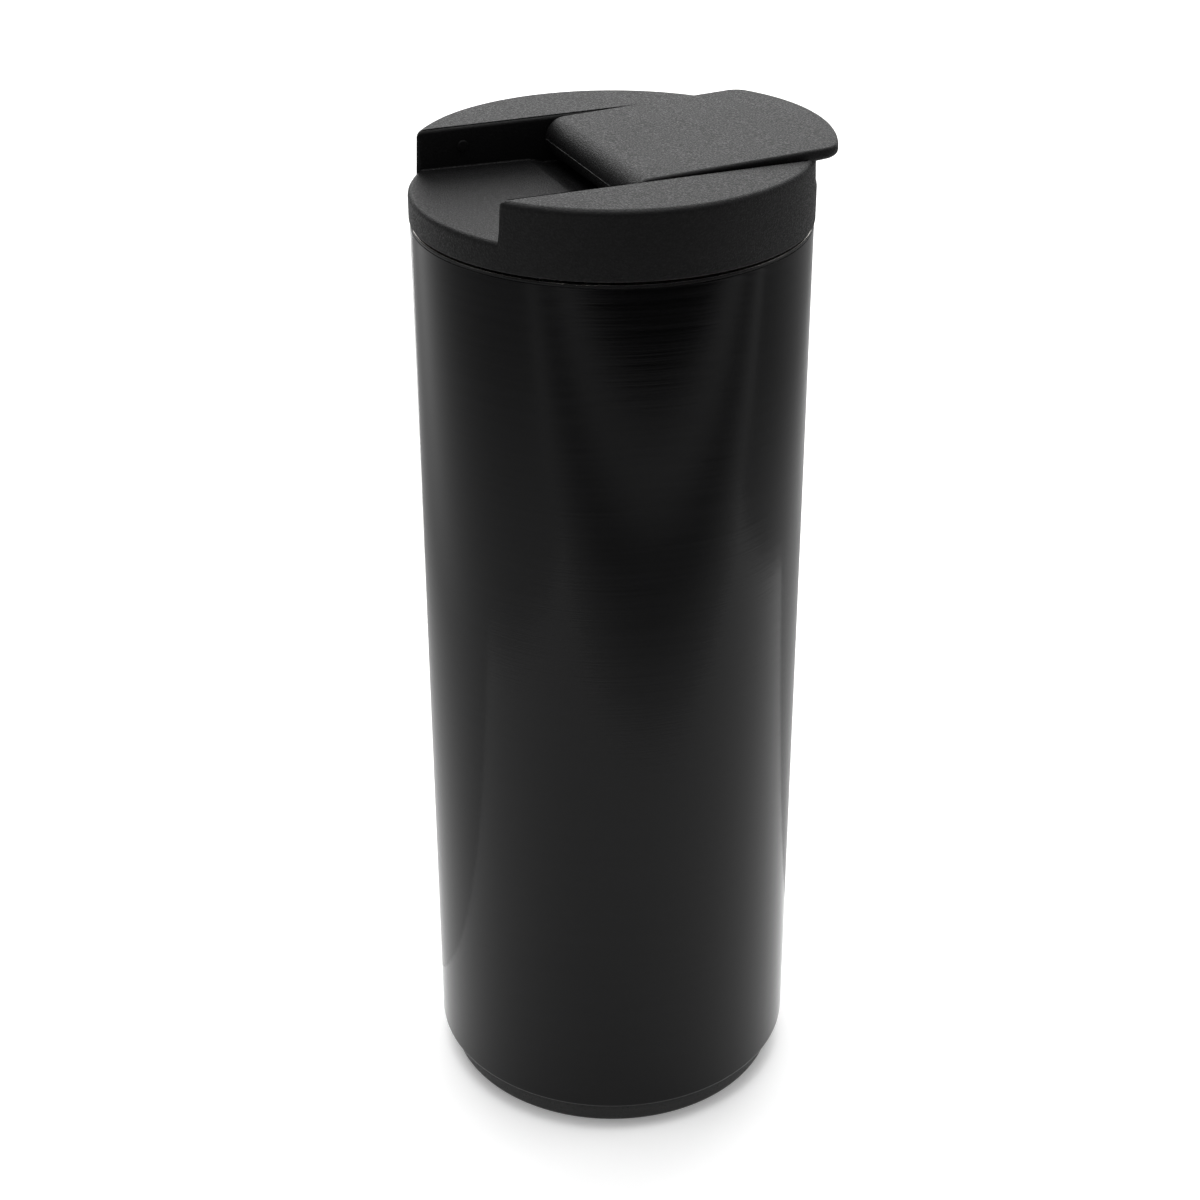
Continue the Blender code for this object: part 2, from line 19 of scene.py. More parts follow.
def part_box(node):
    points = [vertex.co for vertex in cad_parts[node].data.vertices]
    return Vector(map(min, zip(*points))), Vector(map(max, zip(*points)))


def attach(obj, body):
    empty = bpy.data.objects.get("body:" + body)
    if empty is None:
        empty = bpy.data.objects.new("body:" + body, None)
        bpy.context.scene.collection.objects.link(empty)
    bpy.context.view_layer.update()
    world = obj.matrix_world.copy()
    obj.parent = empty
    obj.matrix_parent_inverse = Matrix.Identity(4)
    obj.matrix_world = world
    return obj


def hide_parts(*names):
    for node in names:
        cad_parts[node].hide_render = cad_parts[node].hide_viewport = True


MM = 0.001
LOG = logging.getLogger("travel_mug")

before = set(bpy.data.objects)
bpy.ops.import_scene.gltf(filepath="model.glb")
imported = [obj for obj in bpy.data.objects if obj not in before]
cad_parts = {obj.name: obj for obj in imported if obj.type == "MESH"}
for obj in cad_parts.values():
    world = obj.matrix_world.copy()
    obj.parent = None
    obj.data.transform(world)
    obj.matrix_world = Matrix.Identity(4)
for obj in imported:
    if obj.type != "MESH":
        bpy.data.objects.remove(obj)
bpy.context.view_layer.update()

Point2 = tuple[float, float]
Point3 = tuple[float, float, float]
Colour = tuple[float, float, float]
Number = Union["Wire", float]
SocketKey = Union[int, str]

BLACK_COATING: Colour = (0.0016, 0.0016, 0.0018)
STAINLESS: Colour = (0.60, 0.575, 0.54)


class Body(Enum):
    """The bodies that a piece can ride on."""

    MUG = "mug"
    SEAL_RING = "seal_ring"
    LID = "lid"
    FLAP = "flap"


class Slot(Enum):
    """The record's material slots that a new piece can take."""

    COATING = "body_coating"
    STEEL = "bare_steel"
    LID = "lid_plastic"
    INNER = "inner_plastic"
    FOOT = "foot_plastic"
    SEAL = "seal_silicone"
    PAD = "pad_silicone"
    PIN = "pin_steel"


# --- node trees --------------------------------------------------------------------------------
class Wire:
    """One output in a node tree. Arithmetic on it adds Math nodes."""

    def __init__(self, graph: "Graph", socket: bpy.types.NodeSocket) -> None:
        """Keep the tree and the socket that this wire starts from."""
        self.graph = graph
        self.socket = socket

    def output(self, key: SocketKey) -> "Wire":
        """Another output of the same node."""
        return Wire(self.graph, Graph.find(self.socket.node.outputs, key))

    def maths(self, operation: str, *values: Number) -> "Wire":
        """A Math node on this wire and, after it, some other values.

        Args:
            operation: the Math node's operation.
            values: what goes in after this wire.

        Returns:
            The node's result.
        """
        sockets = dict(enumerate((self, *values)))
        return self.graph.add("ShaderNodeMath", {"operation": operation}, sockets)

    def __add__(self, other: Number) -> "Wire":
        """self + other."""
        return self.maths("ADD", other)

    def __sub__(self, other: Number) -> "Wire":
        """self - other."""
        return self.maths("SUBTRACT", other)

    def __rsub__(self, other: float) -> "Wire":
        """other - self."""
        return self.graph.add("ShaderNodeMath", {"operation": "SUBTRACT"}, {0: other, 1: self})

    def __mul__(self, other: Number) -> "Wire":
        """self * other."""
        return self.maths("MULTIPLY", other)

    def __truediv__(self, other: Number) -> "Wire":
        """self / other."""
        return self.maths("DIVIDE", other)

    def __pow__(self, other: Number) -> "Wire":
        """self to the power other."""
        return self.maths("POWER", other)

    def __gt__(self, other: Number) -> "Wire":
        """1 where self is over other, and 0 elsewhere."""
        return self.maths("GREATER_THAN", other)

    def __lt__(self, other: Number) -> "Wire":
        """1 where self is under other, and 0 elsewhere."""
        return self.maths("LESS_THAN", other)

    def ramp(self, low: float, high: float) -> "Wire":
        """A smooth step from 0 at low to 1 at high."""
        settings = {"interpolation_type": "SMOOTHSTEP", "clamp": True}
        sockets = {"Value": self, "From Min": low, "From Max": high, "To Min": 0.0, "To Max": 1.0}
        return self.graph.add("ShaderNodeMapRange", settings, sockets)


class Graph:
    """A node tree under construction."""

    def __init__(self, tree: bpy.types.NodeTree) -> None:
        """Start on an existing tree."""
        self.tree = tree

    @staticmethod
    def find(sockets: Any, key: SocketKey) -> bpy.types.NodeSocket:
        """The socket with that place, identifier or name."""
        if isinstance(key, int):
            return sockets[key]
        return next(s for s in sockets if key in (s.identifier, s.name))

    def add(self, kind: str, settings: Optional[dict[str, Any]] = None,
            sockets: Optional[dict[SocketKey, Any]] = None, output: SocketKey = 0) -> Wire:
        """A new node.

        Args:
            kind: the node's type.
            settings: the node's own properties, set before its sockets.
            sockets: values or wires for its inputs, by place, identifier or name.
            output: the output that is returned.

        Returns:
            A wire from that output.
        """
        node = self.tree.nodes.new(kind)
        for name, value in (settings or {}).items():
            setattr(node, name, value)
        for key, value in (sockets or {}).items():
            socket = self.find(node.inputs, key)
            if isinstance(value, Wire):
                self.tree.links.new(value.socket, socket)
            else:
                socket.default_value = value
        return Wire(self, self.find(node.outputs, output))


class ShapeTree(Graph):
    """A Geometry Nodes tree with named inputs, run once on a mesh to make a plain mesh."""

    def __init__(self, name: str) -> None:
        """Make an empty tree with a geometry input and a geometry output."""
        super().__init__(bpy.data.node_groups.new(name, "GeometryNodeTree"))
        self.identifiers: dict[str, str] = {}
        self.take("Geometry", "Geometry")
        self.entry = self.add("NodeGroupInput")
        self.tree.interface.new_socket(name="Geometry", in_out="OUTPUT",
                                       socket_type="NodeSocketGeometry")

    def take(self, name: str, kind: str) -> None:
        """Declare a named input of that kind."""
        made = self.tree.interface.new_socket(name=name, in_out="INPUT",
                                              socket_type="NodeSocket" + kind)
        self.identifiers[name] = made.identifier

    def given(self, name: str, kind: str = "Float") -> Wire:
        """The wire of a named input, which is declared here if it's new.

        Args:
            name: the input's name.
            kind: its socket type without the prefix.

        Returns:
            A wire from the group's input.
        """
        if name not in self.identifiers:
            self.take(name, kind)
        return self.entry.output(self.identifiers[name])

    def close(self, geometry: Wire) -> "ShapeTree":
        """End the tree in Realize Instances and Set Material."""
        smooth = self.add("GeometryNodeSetShadeSmooth", None, {0: geometry})
        real = self.add("GeometryNodeRealizeInstances", None, {0: smooth})
        dressed = self.add("GeometryNodeSetMaterial", None,
                           {"Geometry": real, "Material": self.given("Finish", "Material")})
        out = self.tree.nodes.new("NodeGroupOutput")
        self.tree.links.new(dressed.socket, out.inputs[0])
        return self

    def run(self, name: str, start: bpy.types.Mesh, **values: Any) -> bpy.types.Object:
        """Run the tree on a mesh.

        Args:
            name: the name of the new piece.
            start: the mesh that goes in.
            values: the named inputs, with _ for a space.

        Returns:
            A new object with a plain mesh and no modifier.
        """
        blank = bpy.data.objects.new(name + "_start", start)
        bpy.context.collection.objects.link(blank)
        change = blank.modifiers.new("shape", "NODES")
        change.node_group = self.tree
        for key, value in values.items():
            change[self.identifiers[key.replace("_", " ")]] = value
        return finished(name, blank)


# --- outlines ----------------------------------------------------------------------------------
ROUNDING_STEP = math.radians(15.0)


def rounded(corners: Sequence[Sequence[float]], closed: bool = False,
            ease: float = 0.03) -> list[Point2]:
    """An outline with its corners rounded.

    Args:
        corners: (x, y) or (x, y, radius) for each corner.
        closed: whether the last corner runs on to the first.
        ease: the length of the short flat beside each arc, which keeps the flats' shading flat.

    Returns:
        The outline's points in order.
    """
    points: list[Point2] = []
    count = len(corners)
    for i, corner in enumerate(corners):
        here = Vector(corner[:2])
        radius = corner[2] if len(corner) > 2 else 0.0
        if radius <= 0.0 or (not closed and i in (0, count - 1)):
            points.append((here.x, here.y))
            continue
        back = (Vector(corners[i - 1][:2]) - here).normalized()
        ahead = (Vector(corners[(i + 1) % count][:2]) - here).normalized()
        half = back.angle(ahead) / 2.0
        reach = radius / math.tan(half)
        centre = here + (back + ahead).normalized() * (radius / math.sin(half))
        first = here + back * reach - centre
        turn = first.angle_signed(here + ahead * reach - centre)
        steps = max(2, math.ceil(abs(turn) / ROUNDING_STEP))
        points.append(tuple(here + back * (reach + ease)))
        for step in range(steps + 1):
            turned = Matrix.Rotation(-turn * step / steps, 2) @ first
            points.append(tuple(centre + turned))
        points.append(tuple(here + ahead * (reach + ease)))
    return points


def arc(centre: Point2, radius: float, start: float, end: float, step: float = 6.0) -> list[Point2]:
    """Points on an arc.

    Args:
        centre: its middle.
        radius: its radius.
        start: the first point's angle, in degrees.
        end: the last point's angle, in degrees.
        step: the largest angle between two points, in degrees.

    Returns:
        The points in order.
    """
    count = max(1, math.ceil(abs(end - start) / step))
    angles = [math.radians(start + (end - start) * i / count) for i in range(count + 1)]
    return [(centre[0] + radius * math.cos(a), centre[1] + radius * math.sin(a)) for a in angles]


def oval(half: Point2, centre_x: float, height: float, sides: int = 72) -> list[Point3]:
    """A level ring of points on an ellipse or circle that is centred on the lid's middle line."""
    angles = [2.0 * math.pi * i / sides for i in range(sides)]
    return [(centre_x + half[0] * math.cos(a), half[1] * math.sin(a), height) for a in angles]


def outline_mesh(name: str, points: Sequence[Sequence[float]], closed: bool) -> bpy.types.Mesh:
    """A mesh of edges only, in metres, from an outline in millimetres."""
    mesh = bpy.data.meshes.new(name)
    edges = [(i, i + 1) for i in range(len(points) - 1)]
    if closed:
        edges.append((len(points) - 1, 0))
    solid = [Vector((*point, 0.0)[:3]) * MM for point in points]
    mesh.from_pydata([tuple(v) for v in solid], edges, [])
    return mesh


# --- solids ------------------------------------------------------------------------------------
def lofted(rings: Sequence[Sequence[Point3]], closed: bool = False) -> bmesh.types.BMesh:
    """Rings of equal length joined in order.

    Args:
        rings: the rings, in millimetres.
        closed: whether the last ring joins the first; otherwise both ends get a cap.

    Returns:
        The solid, in metres.
    """
    bm = bmesh.new()
    made = [[bm.verts.new(Vector(point) * MM) for point in ring] for ring in rings]
    pairs = list(zip(made, made[1:]))
    if closed:
        pairs.append((made[-1], made[0]))
    for low, high in pairs:
        for i in range(len(low)):
            j = (i + 1) % len(low)
            bm.faces.new((low[i], low[j], high[j], high[i]))
    if not closed:
        bm.faces.new(made[0])
        bm.faces.new(made[-1])
    return bm


def around(half: Point2, centre_x: float, profile: Sequence[Point2], sides: int = 72,
           closed: bool = False) -> bmesh.types.BMesh:
    """A solid whose outline runs round an upright oval.

    Args:
        half: the oval's half axes.
        centre_x: its middle, on the lid's middle line.
        profile: (offset from the oval, height) for each ring.
        sides: the number of sides.
        closed: whether the last ring joins the first.

    Returns:
        The solid, in metres.
    """
    rings = [oval((half[0] + out, half[1] + out), centre_x, z, sides) for out, z in profile]
    return lofted(rings, closed)


def extruded(profile: Sequence[Point2], half_width: float) -> bmesh.types.BMesh:
    """An (x, z) profile extruded along Y to both sides."""
    return lofted([[(x, side * half_width, z) for x, z in profile] for side in (-1, 1)])


MERGE_REACH = 0.0005
SLIVER_WIDTH = 0.0002


def settle_normals(mesh: bpy.types.Mesh) -> None:
    """Merge doubled points and turn every face of a closed mesh outwards."""
    bm = bmesh.new()
    bm.from_mesh(mesh)
    bmesh.ops.remove_doubles(bm, verts=bm.verts, dist=MERGE_REACH * MM)
    bmesh.ops.dissolve_degenerate(bm, edges=bm.edges, dist=SLIVER_WIDTH * MM)
    bmesh.ops.recalc_face_normals(bm, faces=bm.faces)
    bm.to_mesh(mesh)
    bm.free()


def evaluated(name: str, made: bpy.types.Object) -> bpy.types.Object:
    """The evaluated object as a new one without modifiers. The one it came from is removed.

    Args:
        name: the new object's name.
        made: an object whose modifiers are done.

    Returns:
        An object with a plain mesh, at the origin.
    """
    depsgraph = bpy.context.evaluated_depsgraph_get()
    mesh = bpy.data.meshes.new_from_object(made.evaluated_get(depsgraph))
    bpy.data.objects.remove(made, do_unlink=True)
    mesh.name = name
    piece = bpy.data.objects.new(name, mesh)
    bpy.context.collection.objects.link(piece)
    return piece


def finished(name: str, made: bpy.types.Object) -> bpy.types.Object:
    """The evaluated object, with its faces merged and turned outwards."""
    piece = evaluated(name, made)
    settle_normals(piece.data)
    return piece


class Blank:
    """A solid that is rounded, cut and joined before it becomes a piece."""

    def __init__(self, name: str, bm: bmesh.types.BMesh,
                 place: Matrix = Matrix.Identity(4)) -> None:
        """Start from a closed mesh in metres, put in place by a matrix."""
        self.name = name
        self.place = place
        self.tools: list[bpy.types.Object] = []
        self.made = self.placed(name, bm, place)

    @staticmethod
    def placed(name: str, bm: bmesh.types.BMesh, place: Matrix) -> bpy.types.Object:
        """The mesh as an object, moved into place."""
        bmesh.ops.transform(bm, matrix=place, verts=bm.verts)
        bmesh.ops.recalc_face_normals(bm, faces=bm.faces)
        mesh = bpy.data.meshes.new(name)
        bm.to_mesh(mesh)
        bm.free()
        made = bpy.data.objects.new(name, mesh)
        bpy.context.collection.objects.link(made)
        return made

    def round_edges(self, widest: float, segments: int = 4) -> "Blank":
        """Round the edges by their bevel weights.

        Args:
            widest: the setback of an edge of weight 1, in millimetres.
            segments: the number of strips across each rounding.

        Returns:
            This blank.
        """
        bevel = self.made.modifiers.new("rounding", "BEVEL")
        bevel.width = widest * MM
        bevel.segments = segments
        bevel.limit_method = "WEIGHT"
        bevel.use_clamp_overlap = False
        bevel.loop_slide = True
        return self

    def shape(self, operation: str, bm: bmesh.types.BMesh,
              place: Optional[Matrix] = None) -> "Blank":
        """Cut a closed mesh out of the blank, or join it on.

        Args:
            operation: DIFFERENCE, UNION or INTERSECT.
            bm: the tool, in metres.
            place: the tool's own place, if it isn't the blank's.

        Returns:
            This blank.
        """
        tool = self.placed(self.name + "_tool", bm, self.place if place is None else place)
        tool.hide_render = True
        change = self.made.modifiers.new("shape", "BOOLEAN")
        change.operation = operation
        change.solver = "EXACT"
        change.object = tool
        self.tools.append(tool)
        return self

    def piece(self, finish: bpy.types.Material, sharp: float = 40.0) -> bpy.types.Object:
        """The finished piece, smooth except at edges that are sharper than an angle.

        Args:
            finish: its material.
            sharp: the angle, in degrees.

        Returns:
            The piece, a plain mesh at the origin.
        """
        rough = finished(self.name + "_rough", self.made)
        for tool in self.tools:
            bpy.data.objects.remove(tool, do_unlink=True)
        rough.data.shade_smooth()
        rough.data.set_sharp_from_angle(angle=math.radians(sharp))
        rough.data.materials.clear()
        rough.data.materials.append(finish)
        even = rough.modifiers.new("even_shading", "WEIGHTED_NORMAL")
        even.keep_sharp = True
        even.weight = 60
        return evaluated(self.name, rough)


def weigh_edges(bm: bmesh.types.BMesh, widest: float,
                setback: Callable[[Vector, Vector], float]) -> None:
    """Give each edge the bevel weight of its rounding.

    Args:
        bm: the sharp solid, in metres.
        widest: the setback of weight 1, in millimetres.
        setback: gives the setback of an edge from its two ends, in millimetres.
    """
    layer = bm.edges.layers.float.new("bevel_weight_edge")
    for edge in bm.edges:
        first, last = (vert.co / MM for vert in edge.verts)
        edge[layer] = min(1.0, setback(first, last) / widest)


# --- the shapes that follow a rule -------------------------------------------------------------
GUIDE_RADIUS = 20.0
WELD = 0.002
HELIX_POINTS = 61
RUNOUT_SHARE = 0.09
RUNOUT_SCALE = 0.15
ROW_RATIO = 0.866
FLASH_POINTS = 161
FLASH_WAVES = 420.0


def turning_tree() -> ShapeTree:
    """A tree that sweeps an outline round the mug's axis."""
    tree = ShapeTree("turned_profile")
    outline = tree.add("GeometryNodeMeshToCurve", None, {0: tree.entry})
    sides, radius = tree.given("Sides", "Int"), tree.given("Guide Radius")
    circle = tree.add("GeometryNodeCurvePrimitiveCircle", None,
                      {"Resolution": sides, "Radius": radius})
    level = tree.add("GeometryNodeSetCurveNormal", {"mode": "Z_UP"}, {0: circle})
    swept = tree.add("GeometryNodeCurveToMesh", None, {0: level, 1: outline})
    merged = tree.add("GeometryNodeMergeByDistance", None,
                      {"Geometry": swept, "Distance": tree.given("Weld")})
    return tree.close(merged)


def thread_tree() -> ShapeTree:
    """A tree that winds an outline up a helix, several times round the axis."""
    tree = ShapeTree("thread_ridges")
    section = tree.add("GeometryNodeMeshToCurve", None, {0: tree.entry})
    line = tree.add("GeometryNodeCurvePrimitiveLine")
    fine = tree.add("GeometryNodeResampleCurve", None, {"Curve": line, "Count": HELIX_POINTS})
    along = tree.add("GeometryNodeSplineParameter", output="Factor")
    angle = along * tree.given("Span")
    place = tree.add("ShaderNodeCombineXYZ", None, {
        0: angle.maths("COSINE") * tree.given("Radius"),
        1: angle.maths("SINE") * tree.given("Radius"),
        2: angle * tree.given("Lead") / (2.0 * math.pi) + tree.given("Height"),
    })
    helix = tree.add("GeometryNodeSetPosition", None, {"Geometry": fine, "Position": place})
    level = tree.add("GeometryNodeSetCurveNormal", {"mode": "Z_UP"}, {0: helix})
    to_end = along.maths("MINIMUM", 1.0 - along)
    runout = to_end.ramp(0.0, RUNOUT_SHARE) * (1.0 - RUNOUT_SCALE) + RUNOUT_SCALE
    ridge = tree.add("GeometryNodeCurveToMesh", None,
                     {0: level, 1: section, "Scale": runout, "Fill Caps": True})
    starts = tree.add("GeometryNodeMeshLine", None, {"Count": tree.given("Starts", "Int"),
                                                     "Offset": (0.0, 0.0, 0.0)})
    index = tree.add("GeometryNodeInputIndex")
    turn = tree.add("ShaderNodeCombineXYZ", None, {
        2: index / tree.given("Starts", "Int") * (2.0 * math.pi) + tree.given("Phase")})
    ridges = tree.add("GeometryNodeInstanceOnPoints", None,
                      {"Points": starts, "Instance": ridge, "Rotation": turn})
    return tree.close(ridges)


def grip_tree() -> ShapeTree:
    """A tree that sets low studs in a staggered pattern over a disc."""
    tree = ShapeTree("pad_studs")
    pitch = tree.given("Pitch")
    rows = tree.given("Rows", "Int")
    lattice = tree.add("GeometryNodeMeshGrid", None, {
        "Size X": pitch * rows, "Size Y": pitch * rows * ROW_RATIO,
        "Vertices X": rows + 1.0, "Vertices Y": rows + 1.0})
    place = tree.add("GeometryNodeInputPosition")
    parts = tree.add("ShaderNodeSeparateXYZ", None, {0: place})
    row = (parts.output(1) / (pitch * ROW_RATIO)).maths("ROUND")
    odd = row.maths("ABSOLUTE").maths("MODULO", 2.0)
    shift = tree.add("ShaderNodeCombineXYZ", None, {0: odd * pitch * 0.5})
    staggered = tree.add("GeometryNodeSetPosition", None, {"Geometry": lattice, "Offset": shift})
    reach = tree.add("ShaderNodeVectorMath", {"operation": "LENGTH"}, {0: place}, output="Value")
    inside = tree.add("GeometryNodeDeleteGeometry", {"domain": "POINT"},
                      {"Geometry": staggered, "Selection": reach > tree.given("Reach")})
    studs = tree.add("GeometryNodeInstanceOnPoints", None,
                     {"Points": inside, "Instance": tree.entry})
    return tree.close(studs)


def row_tree() -> ShapeTree:
    """A tree that repeats a shape along X."""
    tree = ShapeTree("row_of_ribs")
    step = tree.add("ShaderNodeCombineXYZ", None, {0: tree.given("Pitch")})
    line = tree.add("GeometryNodeMeshLine", None,
                    {"Count": tree.given("Count", "Int"), "Offset": step})
    ribs = tree.add("GeometryNodeInstanceOnPoints", None, {"Points": line, "Instance": tree.entry})
    return tree.close(ribs)


def flash_tree() -> ShapeTree:
    """A tree that draws a thin, slightly uneven moulding line across the flap's barrel."""
    tree = ShapeTree("moulding_line")
    half = tree.given("Half Length")
    start = tree.add("ShaderNodeCombineXYZ", None, {1: half * -1.0})
    end = tree.add("ShaderNodeCombineXYZ", None, {1: half})
    line = tree.add("GeometryNodeCurvePrimitiveLine", None, {"Start": start, "End": end})
    fine = tree.add("GeometryNodeResampleCurve", None, {"Curve": line, "Count": FLASH_POINTS})
    place = tree.add("GeometryNodeInputPosition")
    wave = tree.add("ShaderNodeTexNoise", {"noise_dimensions": "4D"},
                    {"Vector": place, "W": tree.given("Seed"), "Scale": FLASH_WAVES, "Detail": 2.0})
    wobble = tree.add("ShaderNodeCombineXYZ", None, {2: (wave - 0.5) * tree.given("Waver")})
    wavy = tree.add("GeometryNodeSetPosition", None, {"Geometry": fine, "Offset": wobble})
    bead = tree.add("GeometryNodeCurvePrimitiveCircle", None,
                    {"Resolution": 8, "Radius": tree.given("Radius")})
    swell = wave.ramp(0.35, 0.65) * 0.5 + 0.6
    made = tree.add("GeometryNodeCurveToMesh", None,
                    {0: wavy, 1: bead, "Scale": swell, "Fill Caps": True})
    return tree.close(made)


@dataclass
class Workshop:
    """The trees that several sub-assemblies share."""

    turning: ShapeTree = field(default_factory=turning_tree)
    winding: ShapeTree = field(default_factory=thread_tree)
    studding: ShapeTree = field(default_factory=grip_tree)
    repeating: ShapeTree = field(default_factory=row_tree)
    flashing: ShapeTree = field(default_factory=flash_tree)

    def turn(self, name: str, corners: Sequence[Sequence[float]], finish: bpy.types.Material,
             closed: bool = False, sides: int = 192) -> bpy.types.Object:
        """A piece turned about the mug's axis.

        Args:
            name: the piece's name.
            corners: (radius, height) or (radius, height, rounding) for each corner.
            finish: its material.
            closed: whether the outline is a ring that stays clear of the axis.
            sides: the number of sides.

        Returns:
            The piece.
        """
        points = [(r - GUIDE_RADIUS, -z) for r, z in rounded(corners, closed)]
        return self.turning.run(name, outline_mesh(name, points, closed), Sides=sides,
                                Guide_Radius=GUIDE_RADIUS * MM, Weld=WELD * MM, Finish=finish)


def deliver(piece: bpy.types.Object, body: Body, slot: Slot, *nodes: str) -> bpy.types.Object:
    """Hand a finished piece to the frame.

    Args:
        piece: the piece, in place.
        body: the body it rides on.
        slot: the material slot of its finish; not used.
        nodes: the frame's nodes that it stands for.

    Returns:
        The piece.
    """
    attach(piece, body.value)
    if nodes:
        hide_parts(*nodes)
    LOG.info("%s: %d faces on %s", piece.name, len(piece.data.polygons), body.value)
    return piece


# --- finishes ----------------------------------------------------------------------------------
@dataclass(frozen=True)
class Texture:
    """What varies over a surface: colour, roughness and the relief that the light sees."""

    colour: Wire
    roughness: Wire
    height: Wire
    relief: float
    metallic: Optional[Wire] = None


@dataclass(frozen=True)
class Finish:
    """A surface finish. Each kind says how its texture looks."""

    name: str
    colour: Colour
    roughness: float
    metallic: float = 0.0
    specular: float = 0.5

    def texture(self, graph: Graph, place: Wire) -> Texture:
        """The finish's texture, on object coordinates in metres."""
        raise NotImplementedError

    @staticmethod
    def noise(graph: Graph, place: Wire, scale: Union[float, Point3],
              detail: float = 2.0) -> Wire:
        """Smooth noise from 0 to 1.

        Args:
            graph: the material's tree.
            place: the coordinates.
            scale: cycles per millimetre, or one figure for each axis.
            detail: the number of finer layers.

        Returns:
            The noise value.
        """
        sizes = scale if isinstance(scale, tuple) else (scale, scale, scale)
        spread = graph.add("ShaderNodeMapping", None,
                           {"Vector": place, "Scale": tuple(s / MM for s in sizes)})
        return graph.add("ShaderNodeTexNoise", None,
                         {"Vector": spread, "Scale": 1.0, "Detail": detail})

    def tinted(self, graph: Graph, amount: Wire, low: float, high: float) -> Wire:
        """The finish's colour, darkened and lightened by a value from 0 to 1."""
        ends = [tuple(c * factor for c in self.colour) + (1.0,) for factor in (low, high)]
        return graph.add("ShaderNodeMix", {"data_type": "RGBA"},
                         {"Factor_Float": amount, "A_Color": ends[0], "B_Color": ends[1]},
                         "Result_Color")

    def material(self) -> bpy.types.Material:
        """The finish as a new material."""
        made = bpy.data.materials.new(self.name)
        made.use_nodes = True
        made.node_tree.nodes.clear()
        made.diffuse_color = (*self.colour, 1.0)
        graph = Graph(made.node_tree)
        place = graph.add("ShaderNodeTexCoord", output="Object")
        texture = self.texture(graph, place)
        normal = graph.add("ShaderNodeBump", None, {
            "Height": texture.height, "Distance": texture.relief * MM, "Strength": 1.0})
        shader = graph.add("ShaderNodeBsdfPrincipled", None, {
            "Base Color": texture.colour, "Roughness": texture.roughness,
            "Metallic": self.metallic if texture.metallic is None else texture.metallic,
            "Specular IOR Level": self.specular, "Normal": normal,
        })
        end = made.node_tree.nodes.new("ShaderNodeOutputMaterial")
        made.node_tree.links.new(shader.socket, end.inputs[0])
        return made


@dataclass(frozen=True)
class BrushedCoating(Finish):
    """A thin black coating over steel that was brushed round the axis."""

    line_pitch: float = 0.24
    line_length: float = 30.0
    relief: float = 0.0125

    def texture(self, graph: Graph, place: Wire) -> Texture:
        """Fine level lines, with a few broader ones and faint cloudiness."""
        length = 1.0 / self.line_length
        fine = self.noise(graph, place, (length, length, 1.0 / self.line_pitch), 3.0)
        broad = self.noise(graph, place, (length / 2.0, length / 2.0, 0.2 / self.line_pitch), 2.0)
        cloud = self.noise(graph, place, 0.035)
        lines = fine * 0.65 + broad * 0.35
        return Texture(
            colour=self.tinted(graph, lines.ramp(0.3, 0.75), 0.72, 1.35),
            roughness=lines.ramp(0.3, 0.7) * 0.07 + cloud * 0.05 + (self.roughness - 0.05),
            height=lines,
            relief=self.relief,
        )


@dataclass(frozen=True)
class SparkedPlastic(Finish):
    """Moulded plastic with a fine spark-eroded grain; its colour runs from painted shade in the
    pits to painted glints on top.
    """

    grain: float = 0.3
    relief: float = 0.15
    shade: float = 0.5
    glint: float = 1.5

    def texture(self, graph: Graph, place: Wire) -> Texture:
        """Close-set pits with painted shade and bright painted glints in the colour, finer speckle
        and a slow unevenness.
        """
        pits = self.noise(graph, place, 1.0 / self.grain, 3.0)
        speckle = self.noise(graph, place, 2.7 / self.grain, 1.0)
        slow = self.noise(graph, place, 0.05)
        grain = pits * 0.7 + speckle * 0.3
        glints = pits.ramp(0.42, 0.66)
        return Texture(
            # The colour carries painted glints on the grain's tops and painted shade in its pits.
            colour=self.tinted(graph, glints, self.shade, self.glint),
            roughness=(1.0 - glints) * 0.22 + slow * 0.06 + (self.roughness - 0.14),
            height=grain,
            relief=self.relief,
        )


@dataclass(frozen=True)
class TurnedSteel(Finish):
    """Bare stainless steel with faint marks round the axis."""

    line_pitch: float = 0.1

    def texture(self, graph: Graph, place: Wire) -> Texture:
        """Level turning marks and soft stains."""
        marks = self.noise(graph, place, (0.03, 0.03, 1.0 / self.line_pitch), 2.0)
        stain = self.noise(graph, place, 0.08, 4.0)
        return Texture(
            colour=self.tinted(graph, stain.ramp(0.3, 0.8), 0.9, 1.06),
            roughness=marks * 0.12 + stain * 0.08 + (self.roughness - 0.1),
            height=marks,
            relief=0.004,
        )


@dataclass(frozen=True)
class CoatedLip(TurnedSteel):
    """Bare steel whose rolled lip carries the body's black coating, all but a thin band along its
    top edge, kept bare as a painted highlight line at the seam.
    """

    lip_radius: float = 35.2
    highlight_height: float = 181.77
    unevenness: float = 0.05

    def texture(self, graph: Graph, place: Wire) -> Texture:
        """The steel's own texture, blended to the coating on the outside of the lip below an uneven
        height; the bare band above that height is a painted highlight.
        """
        bare = super().texture(graph, place)
        parts = graph.add("ShaderNodeSeparateXYZ", None, {0: place})
        x, y, z = (parts.output(i) / MM for i in range(3))
        radius = (x * x + y * y) ** 0.5
        # Above this uneven height the lip's outside stays bare steel, as a painted highlight line
        # along the seam.
        highlight_edge = (self.noise(graph, place, 0.3, 2.0) * self.unevenness + self.highlight_height
                - self.unevenness / 2.0)
        cover = (radius > self.lip_radius) * (z < highlight_edge)
        colour = graph.add("ShaderNodeMix", {"data_type": "RGBA"},
                           {"Factor_Float": cover, "A_Color": bare.colour,
                            "B_Color": (*BLACK_COATING, 1.0)}, "Result_Color")
        return Texture(colour, bare.roughness, bare.height, bare.relief, 1.0 - cover)


